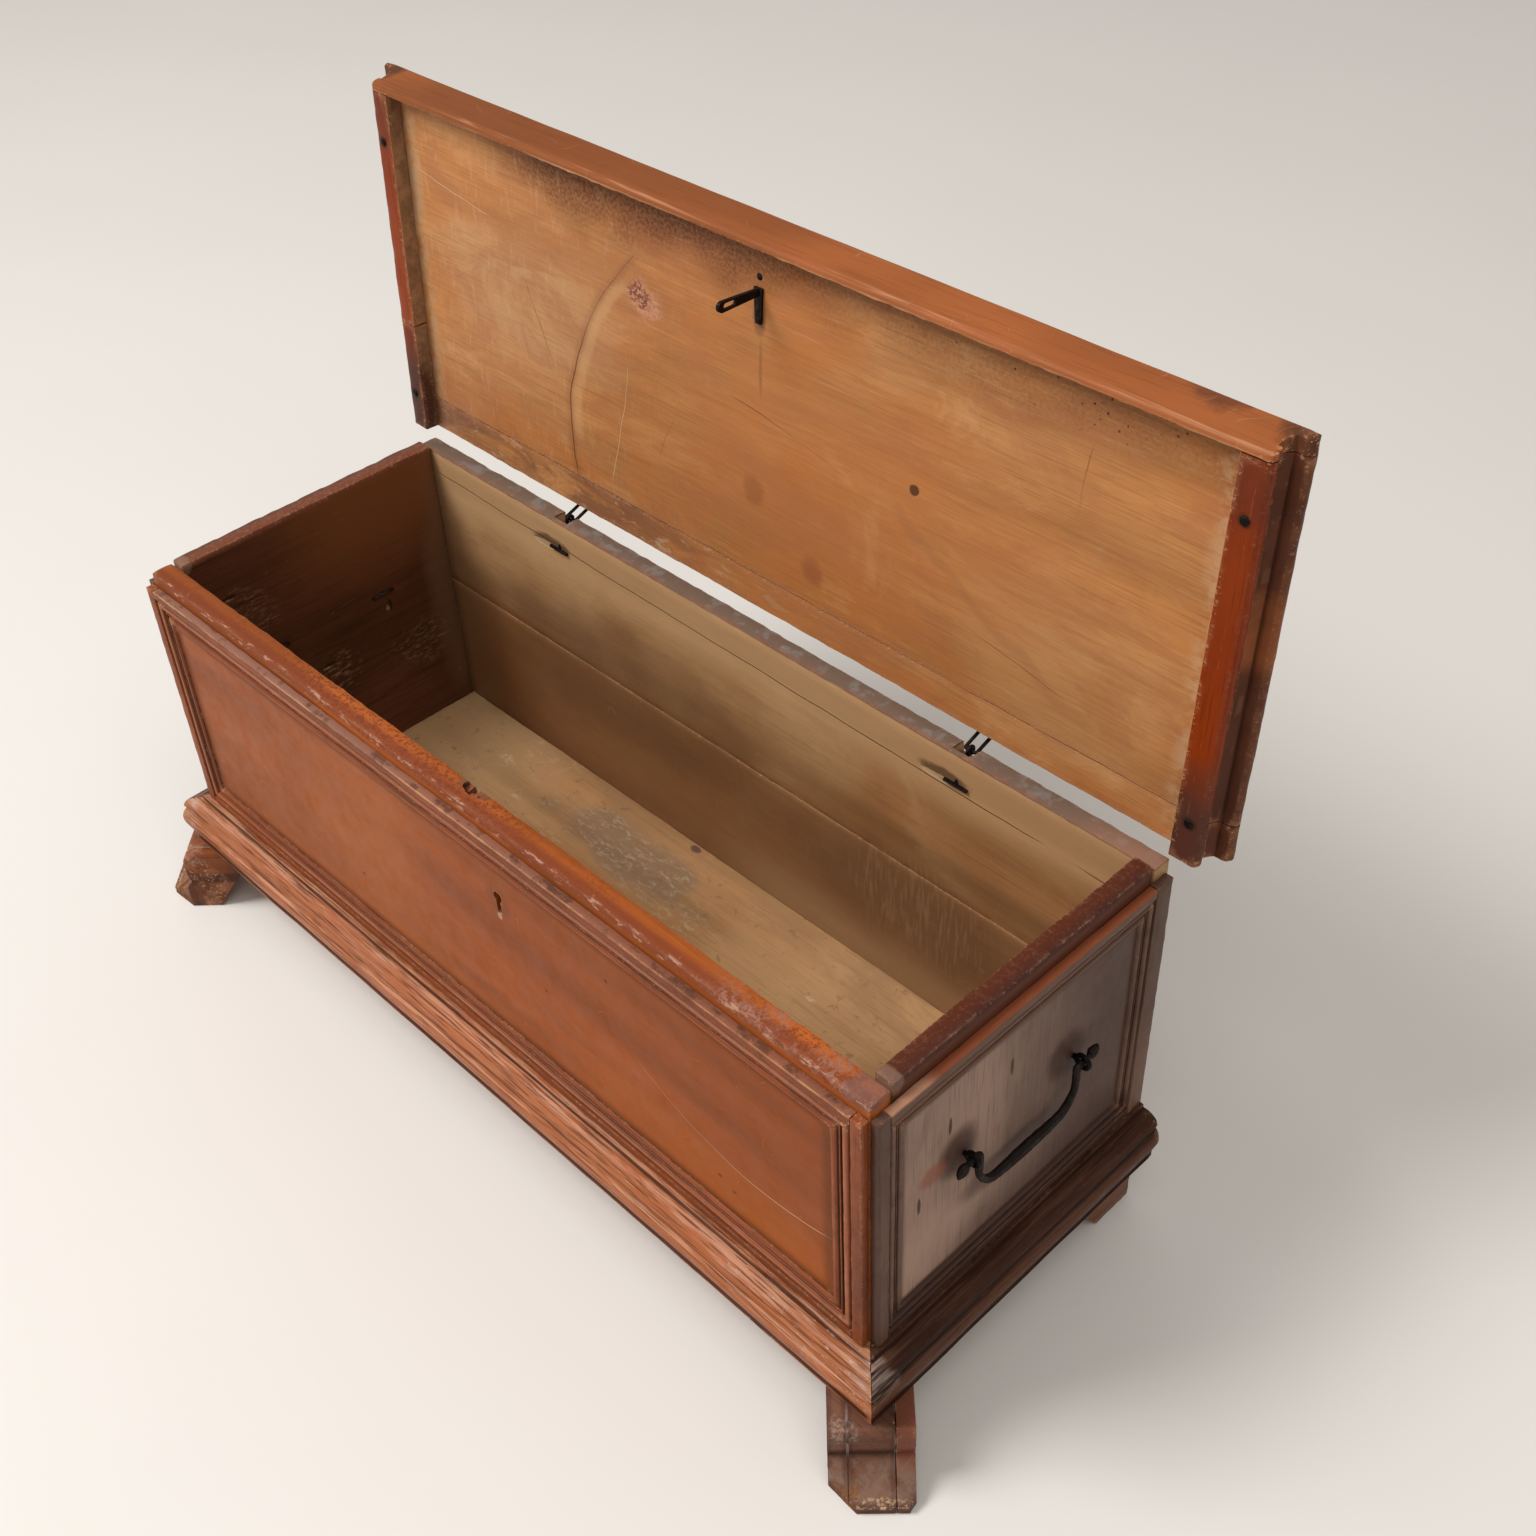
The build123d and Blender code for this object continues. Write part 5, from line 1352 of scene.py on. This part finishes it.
        # Painted shade on the right end of the lid's edge, which turns away from the light; a patch near
        # the front is left lighter.
        right_end_shade = x.over(lid.batten_outer - 0.013, lid.batten_outer - 0.010) \
            * (1 - wood.spot((0.61, -0.06, 0), (0, 0.05, 0), 0.8) * 0.8)
        wood.layers(
            (swirl * 0.35, (0.34, 0.14, 0.058)),
            (eye * 0.85, (0.05, 0.022, 0.014), 0.1, -1.5),
            (rust * 0.55, (0.10, 0.05, 0.034)),
            (drip * 0.5, (0.20, 0.09, 0.05)),
            (holes * wood.noise(24, 2).over(0.45, 0.55) * 0.9, (0.035, 0.016, 0.010), 0.2, -2),
            (right_end * 0.5, (0.58, 0.40, 0.24), 0.15, -0.3),
            (left_end * 0.5, (0.50, 0.36, 0.22), 0.15),
            (1 - (1 - outside) * (1 - ends), self.polish(wood), -0.04),
            (right_end_shade * 0.8, (0.050, 0.016, 0.011)))
        return wood

    def polish(self, wood):
        """Red-brown polish of the lid's outside."""
        edge = self.colours.lid_edge
        tone = wood.mix(wood.figure.over(0.38, 0.66), edge, shade(edge, 0.58))
        tone = wood.mix(wood.streaks.over(0.54, 0.74) * 0.45, tone, shade(edge, 0.34))
        return wood.mix(wood.mottle.over(0.56, 0.72) * 0.3, tone, shade(edge, 0.4))

    def rough_strip(self, wood):
        """Rough left half of the hinge strip's underside, with pale flakes."""
        under = wood.z.over(self.lid.under + 0.003, self.lid.under + 0.001)
        rough = wood.noise(26, 5, 0.7, 0.5, (0.35, 1, 1)).over(0.38, 0.60)
        flakes = wood.noise(60, 4, 0.7, 0.5, (0.4, 1, 1), (4, 1, 0)).over(0.56, 0.64)
        wood.layers(
            (rough * under * wood.x.over(0.1, -0.25) * 0.8, (0.20, 0.085, 0.045), 0.15),
            (flakes * under * wood.x.over(0.2, -0.2) * 0.6, (0.52, 0.36, 0.23), 0.15, -0.5))

    def lip_walnut(self):
        """Polished lip with grimy corners, rubbed along its inner lower edge, and a painted highlight
        along its outer lower arris.
        """
        lid, edge = self.lid, self.colours.lid_edge
        inner, nose, skirt = lid.lip_inner, lid.nose_front, lid.skirt
        wood = Timber("lid_lip_walnut", "x", edge, 107, True, 0.42, shade(edge, 1.12), 0.6)
        y, z = wood.y, wood.z
        rub = y.over(inner - 0.0035, inner - 0.001) * z.over(skirt + 0.003, skirt + 0.0005)
        wood.layers(
            (y.over(inner - 0.0015, inner - 0.0004) * 0.8, (0.16, 0.055, 0.026), 0.1),
            (rub * wood.streaks.over(0.40, 0.58) * 0.7, (0.62, 0.33, 0.16), 0.1))
        for corner in (-1, 1):
            grime = wood.spot((corner * 0.612, nose, lid.top - 0.008), (0.03, 0.03, 0.03), 0.7, 0.7, FINE)
            wood.layer(grime * 0.75, (0.045, 0.020, 0.014), 0.15, -0.3)
        stain = wood.spot((0.53, nose, lid.top), (0.035, 0.03, 0.03), 0.8, 0.8, FINE)
        # Painted highlight along the lip's outer lower arris.
        arris = y.over(lid.lip_outer + 0.0035, lid.lip_outer + 0.0010) \
            * z.over(skirt + 0.006, skirt + 0.0035)
        crown = z.over(lid.top - 0.007, lid.top - 0.003) * wood.patches.over(0.46, 0.60)
        wood.layers(
            (stain * 0.6, (0.05, 0.022, 0.016), 0.1, -0.3),
            (arris * wood.streaks.over(0.46, 0.58) * 0.5, (0.60, 0.30, 0.15), 0.1),
            (crown * 0.5, (0.23, 0.075, 0.030), 0.1))
        wood.age(0.45, 0.9, 0.7, 0.25)
        return wood.done(0.0011, 0.6)

    def batten_walnut(self, name, seed, sign):
        """Orange batten, dark towards its ends and about the nails."""
        lid = self.lid
        wood = Timber(f"{name}_walnut", "y", (0.26, 0.034, 0.003), seed, True, 0.40,
                      (0.29, 0.046, 0.004))
        inner = (wood.x * sign).over(lid.batten_inner + 0.0016, lid.batten_inner + 0.0004)
        bare = shade(self.colours.lid_inside, 1.1) if sign > 0 else (0.38, 0.225, 0.110)
        wood.layer(inner * 0.85, bare, 0.15)
        if sign < 0:
            wood.layer(inner * wood.mottle.over(0.4, 0.6) * 0.6, (0.13, 0.075, 0.045), 0.2)
        for end, length, strength in ((0.16, 0.10, 0.92), (-0.21, 0.055, 0.35)):
            dark = wood.spot((sign * 0.594, end, lid.skirt), (0.05, length, 0.03), 0.9, 0.6)
            wood.layer(dark * strength, (0.07, 0.026, 0.017), 0.1)
        for nail in NAIL_Y:
            halo = wood.spot((sign * 0.592, nail, lid.skirt), (0.009, 0.009, 0.02), 0.8, 0.5, FINE)
            wood.layer(halo * 0.7, (0.03, 0.014, 0.010), 0.1, -0.4)
        wood.age(0.3, 0.6, 0.7, 0.12)
        return wood.done(0.0010, 0.6)


class Iron(Finish):
    """Blackened wrought iron with thin rust, hammer marks and a painted highlight along its edges."""

    def __init__(self, name, turned=False):
        super().__init__(name, turned)
        colours = bpy.context.scene.iron_colours
        blotch = self.noise(70, 5, 0.65, 0.4)
        grit = self.noise(900, 3, 0.6)
        base = self.mix(blotch.over(0.48, 0.66) * 0.8, colours.iron, colours.rust)
        base = self.mix(grit.over(0.56, 0.70) * 0.5, base, shade(colours.iron, 0.5))
        # Painted highlight along the sharper edges, broken up by the blotches.
        base = self.mix(self.edge.over(0.53, 0.62) * blotch.over(0.62, 0.45) * 0.8, base, colours.bright)
        self.tree.links.new((blotch.over(0.66, 0.5) * 0.35).socket, self.shader.inputs["Metallic"])
        self.shader.inputs["Specular IOR Level"].default_value = 0.14
        hammer = self.noise(130, 2, 0.5)
        self.finish(base, blotch.over(0.3, 0.7) * 0.25 + 0.38, hammer + grit * 0.25, 0.0006, 0.6)


class CASSONE_OT_iron(Maker):
    """Handles, eyes, hinge loops, hasp, nails and the lock"""
    bl_idname = "cassone.iron"
    bl_label = "Ironwork"

    def forged(self, node, body, finish, rounding=0.0, dents=0.0005):
        """Hammered copy of a plain iron node."""
        piece = bpy.data.objects.new(f"{node}_forged", frame["nodes"][node].data.copy())
        bpy.context.scene.collection.objects.link(piece)
        tidy_normals(piece)
        if rounding:
            edit_all(piece)
            bpy.ops.mesh.dissolve_limited(angle_limit=0.02)
            bpy.ops.object.mode_set(mode="OBJECT")
            ease(piece, rounding, 0.6)
        uneven(piece, "hammer", 0.006, dents)
        finish_piece(piece, finish, body, "wrought_iron", node, angle=40)

    def bar(self, name, points, radius):
        """Forged bar along a smooth line; each point is a place and a share of the radius."""
        bpy.ops.object.select_all(action="DESELECT")
        bpy.ops.curve.primitive_nurbs_path_add(enter_editmode=False)
        piece = bpy.context.object
        piece.name = name
        data = piece.data
        data.splines.clear()
        line = data.splines.new("NURBS")
        line.points.add(len(points) - 1)
        for point, (spot, share) in zip(line.points, points):
            point.co = (*spot, 1)
            point.radius = share
        line.order_u = 3
        line.use_endpoint_u = True
        line.resolution_u = 8
        data.dimensions = "3D"
        data.use_path = False
        data.bevel_depth = radius
        data.bevel_resolution = 2
        data.use_fill_caps = True
        only(piece)
        bpy.ops.object.convert(target="MESH")
        return bpy.context.object

    def bail(self, side, sign, finish):
        low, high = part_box(f"{side}_bail")
        """Drop handle: a bar swelling to its middle, with a leaf beyond each eye."""
        low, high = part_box(f"{side}_bail")
        x = sign * 0.5923
        y = (low.y + high.y) / 2
        eye_z = 0.340
        grip_z = eye_z - 0.055
        arm = 0.0713

        def spot(along, up):
            return (x, y + along, up)

        points = []
        for end in (-1, 1):
            half = [
                (spot(end * 0.0870, eye_z), 0.80), (spot(end * 0.0820, eye_z), 0.90),
                (spot(end * 0.0745, eye_z), 0.95), (spot(end * arm, eye_z - 0.0005), 1.0),
                (spot(end * arm, eye_z - 0.0060), 1.05), (spot(end * arm, eye_z - 0.0180), 1.0),
                (spot(end * (arm + 0.0003), grip_z + 0.0255), 0.98),
                (spot(end * (arm - 0.0060), grip_z + 0.0130), 1.05),
                (spot(end * (arm - 0.0150), grip_z + 0.0035), 1.15),
                (spot(end * 0.0440, grip_z), 1.25), (spot(end * 0.0200, grip_z), 1.45),
            ]
            points += half if end < 0 else [(spot(0, grip_z), 1.55)] + half[::-1]
        joined = [self.bar(f"{side}_bail_forged", points, 0.0040)]
        for end in (-1, 1):
            lift = 0.004 if end > 0 else -0.0045
            leaf = self.bar(f"{side}_finial", [
                (spot(end * 0.0850, eye_z), 0.75),
                (spot(end * 0.0885, eye_z), 0.85),
                (spot(end * 0.0915, eye_z + lift * 0.2), 1.7),
                (spot(end * 0.0960, eye_z + lift * 0.7), 1.75),
                (spot(end * 0.1000, eye_z + lift * 1.5), 1.2),
                (spot(end * 0.1020, eye_z + lift * 1.9), 0.35),
            ], 0.0040)
            edit_all(leaf)
            bpy.ops.transform.resize(value=(0.72, 1, 1), center_override=spot(end * 0.093, eye_z))
            bpy.ops.object.mode_set(mode="OBJECT")
            joined.append(leaf)
        body = join(joined, f"{side}_bail_forged")
        settle()
        tidy_normals(body)
        uneven(body, "hammer", 0.007, 0.0012)
        finish_piece(body, finish, f"{side}_bail", "wrought_iron", f"{side}_bail", angle=22)

    def heads(self, name, spots, radius, finish, body, node):
        """Round nail heads, each bedded in its surface, with a short length of shank."""
        made = []
        for spot in spots:
            bpy.ops.object.select_all(action="DESELECT")
            bpy.ops.mesh.primitive_uv_sphere_add(segments=20, ring_count=12, radius=radius, location=spot,
                                                 scale=(1, 1, 0.42))
            settle()
            made.append(bpy.context.object)
            bpy.ops.mesh.primitive_cylinder_add(vertices=10, radius=0.0013, depth=0.014,
                                                location=(spot[0], spot[1], spot[2] + 0.006))
            settle()
            made.append(bpy.context.object)
        head = join(made, name)
        uneven(head, "hammer", 0.004, 0.0006)
        lean_back(head)
        finish_piece(head, finish, body, "wrought_iron", node, angle=40)

    def make(self):
        lid = self.lid
        still = Iron("wrought_iron_chest").material
        leaning = Iron("wrought_iron_lid", True).material
        for side, sign in (("right", 1), ("left", -1)):
            self.bail(side, sign, still)
            self.forged(f"{side}_handle_eyes", "chest", still, 0, 0.0006)
        for node, body, finish, rounding, dents in (
            ("hinge_rings", "chest", still, 0, 0.0005), ("hinge_clevises", "lid", leaning, 0, 0.0004),
            ("hasp", "lid", leaning, 0.0007, 0.0005), ("lock_plate", "chest", still, 0.0006, 0.0003),
            ("lock_guides", "chest", still, 0.0004, 0.0002),
            ("lock_bolt", "lock_bolt", still, 0.0005, 0.0002),
            ("lock_nails", "chest", still, 0, 0.0002), ("key_pin", "chest", still, 0, 0.0002),
        ):
            self.forged(node, body, finish, rounding, dents)
        side_x = (lid.batten_inner + lid.batten_outer) / 2
        spots = [(sign * side_x, y, lid.skirt - 0.0004)
                 for sign in (-1, 1) for y in (-0.174089, 0.146911)]
        self.heads("batten_nails_forged", spots, 0.0046, leaning, "lid", "batten_nails")
        spots = [(HASP_X, y, lid.under - drop)
                 for y, drop in ((-0.161789, 0.003), (-0.148789, 0.003), (-0.193889, 0))]
        self.heads("hasp_nails_forged", spots, 0.0038, leaning, "lid", "hasp_nails")


class CASSONE_OT_stage(Maker):
    """Plain pale floor, soft studio light and the camera"""
    bl_idname = "cassone.stage"
    bl_label = "Stage"

    def make(self):
        scene = bpy.context.scene
        stage = scene.stage_settings
        scene.view_settings.view_transform = "Standard"
        bpy.ops.object.select_all(action="DESELECT")
        bpy.ops.mesh.primitive_plane_add(size=60, location=(0, 0, 0))
        floor = bpy.context.object
        floor.name = "floor"
        paint = Finish("floor_paint")
        cloud = paint.noise(1.3, 3, 0.5)
        tone = paint.mix(cloud.over(0.3, 0.7) * 0.5, stage.floor, shade(stage.floor, 0.96))
        floor.data.materials.append(paint.finish(tone, cloud * 0.1 + 0.55, cloud, 0.001, 0.05))
        world = bpy.data.worlds.new("studio")
        world.use_nodes = True
        scene.world = world
        tree = world.node_tree
        fill = tree.nodes["Background"]
        fill.inputs["Color"].default_value = (*stage.sky, 1)
        fill.inputs["Strength"].default_value = stage.sky_strength
        seen = tree.nodes.new("ShaderNodeBackground")
        seen.inputs["Color"].default_value = (*stage.sky, 1)
        seen.inputs["Strength"].default_value = 0.95
        path = tree.nodes.new("ShaderNodeLightPath")
        either = tree.nodes.new("ShaderNodeMath")
        either.operation = "MAXIMUM"
        choice = tree.nodes.new("ShaderNodeMixShader")
        tree.links.new(path.outputs["Is Camera Ray"], either.inputs[0])
        tree.links.new(path.outputs["Is Transmission Ray"], either.inputs[1])
        tree.links.new(either.outputs[0], choice.inputs[0])
        tree.links.new(fill.outputs[0], choice.inputs[1])
        tree.links.new(seen.outputs[0], choice.inputs[2])
        tree.links.new(choice.outputs[0], tree.nodes["World Output"].inputs["Surface"])
        for name, watts, size, place, target in (
            ("key", stage.key_watts, 2.8, (-2.6, -3.3, 5.8), (0, 0, 0.35)),
            ("high", stage.key_watts * 0.20, 3.0, (2.6, -1.2, 5.2), (0, 0, 0.3)),
        ):
            bpy.ops.object.light_add(type="AREA", location=place)
            lamp = bpy.context.object
            lamp.name = name
            lamp.data.energy = watts
            lamp.data.size = size
            lamp.rotation_euler = (Vector(target) - Vector(place)).to_track_quat("-Z", "Y").to_euler()
        bpy.ops.object.camera_add(location=stage.camera)
        camera = bpy.context.object
        camera.name = "camera"
        camera.data.sensor_width = 36
        camera.data.lens = stage.focal
        a, e, r = stage.azimuth, stage.elevation, stage.roll
        ahead = Vector((-math.sin(a) * math.cos(e), math.cos(a) * math.cos(e), -math.sin(e)))
        level = Vector((math.cos(a), math.sin(a), 0))
        upright = level.cross(ahead)
        across = level * math.cos(r) + upright * math.sin(r)
        above = upright * math.cos(r) - level * math.sin(r)
        camera.rotation_euler = Matrix((across, above, -ahead)).transposed().to_euler()
        scene.camera = camera


# ------------------------------------------------------------------ add-on
STEPS = (CASSONE_OT_boards, CASSONE_OT_frames, CASSONE_OT_plinth, CASSONE_OT_feet, CASSONE_OT_lid,
         CASSONE_OT_iron, CASSONE_OT_stage)
GROUPS = {"lid_sizes": LidSizes, "walnut_colours": WalnutColours, "iron_colours": IronColours,
          "stage_settings": StageSettings}


class CASSONE_PT_sidebar(bpy.types.Panel):
    """Lists the cassone's steps and settings"""
    bl_idname = "CASSONE_PT_sidebar"
    bl_label = "Cassone"
    bl_space_type = "VIEW_3D"
    bl_region_type = "UI"
    bl_category = "Cassone"

    def draw(self, context):
        for step in STEPS:
            self.layout.operator(step.bl_idname)
        for name, group in GROUPS.items():
            box = self.layout.box()
            box.label(text=group.__doc__)
            for key in group.__annotations__:
                box.prop(getattr(context.scene, name), key)


def register():
    for name, group in GROUPS.items():
        bpy.utils.register_class(group)
        setattr(bpy.types.Scene, name, bpy.props.PointerProperty(type=group))
    for step in (*STEPS, CASSONE_PT_sidebar):
        bpy.utils.register_class(step)


def unregister():
    for step in (CASSONE_PT_sidebar, *reversed(STEPS)):
        bpy.utils.unregister_class(step)
    for name, group in GROUPS.items():
        delattr(bpy.types.Scene, name)
        bpy.utils.unregister_class(group)


def main():
    register()
    for step in STEPS:
        group, action = step.bl_idname.split(".")
        getattr(getattr(bpy.ops, group), action)()


if __name__ == "__main__":
    main()
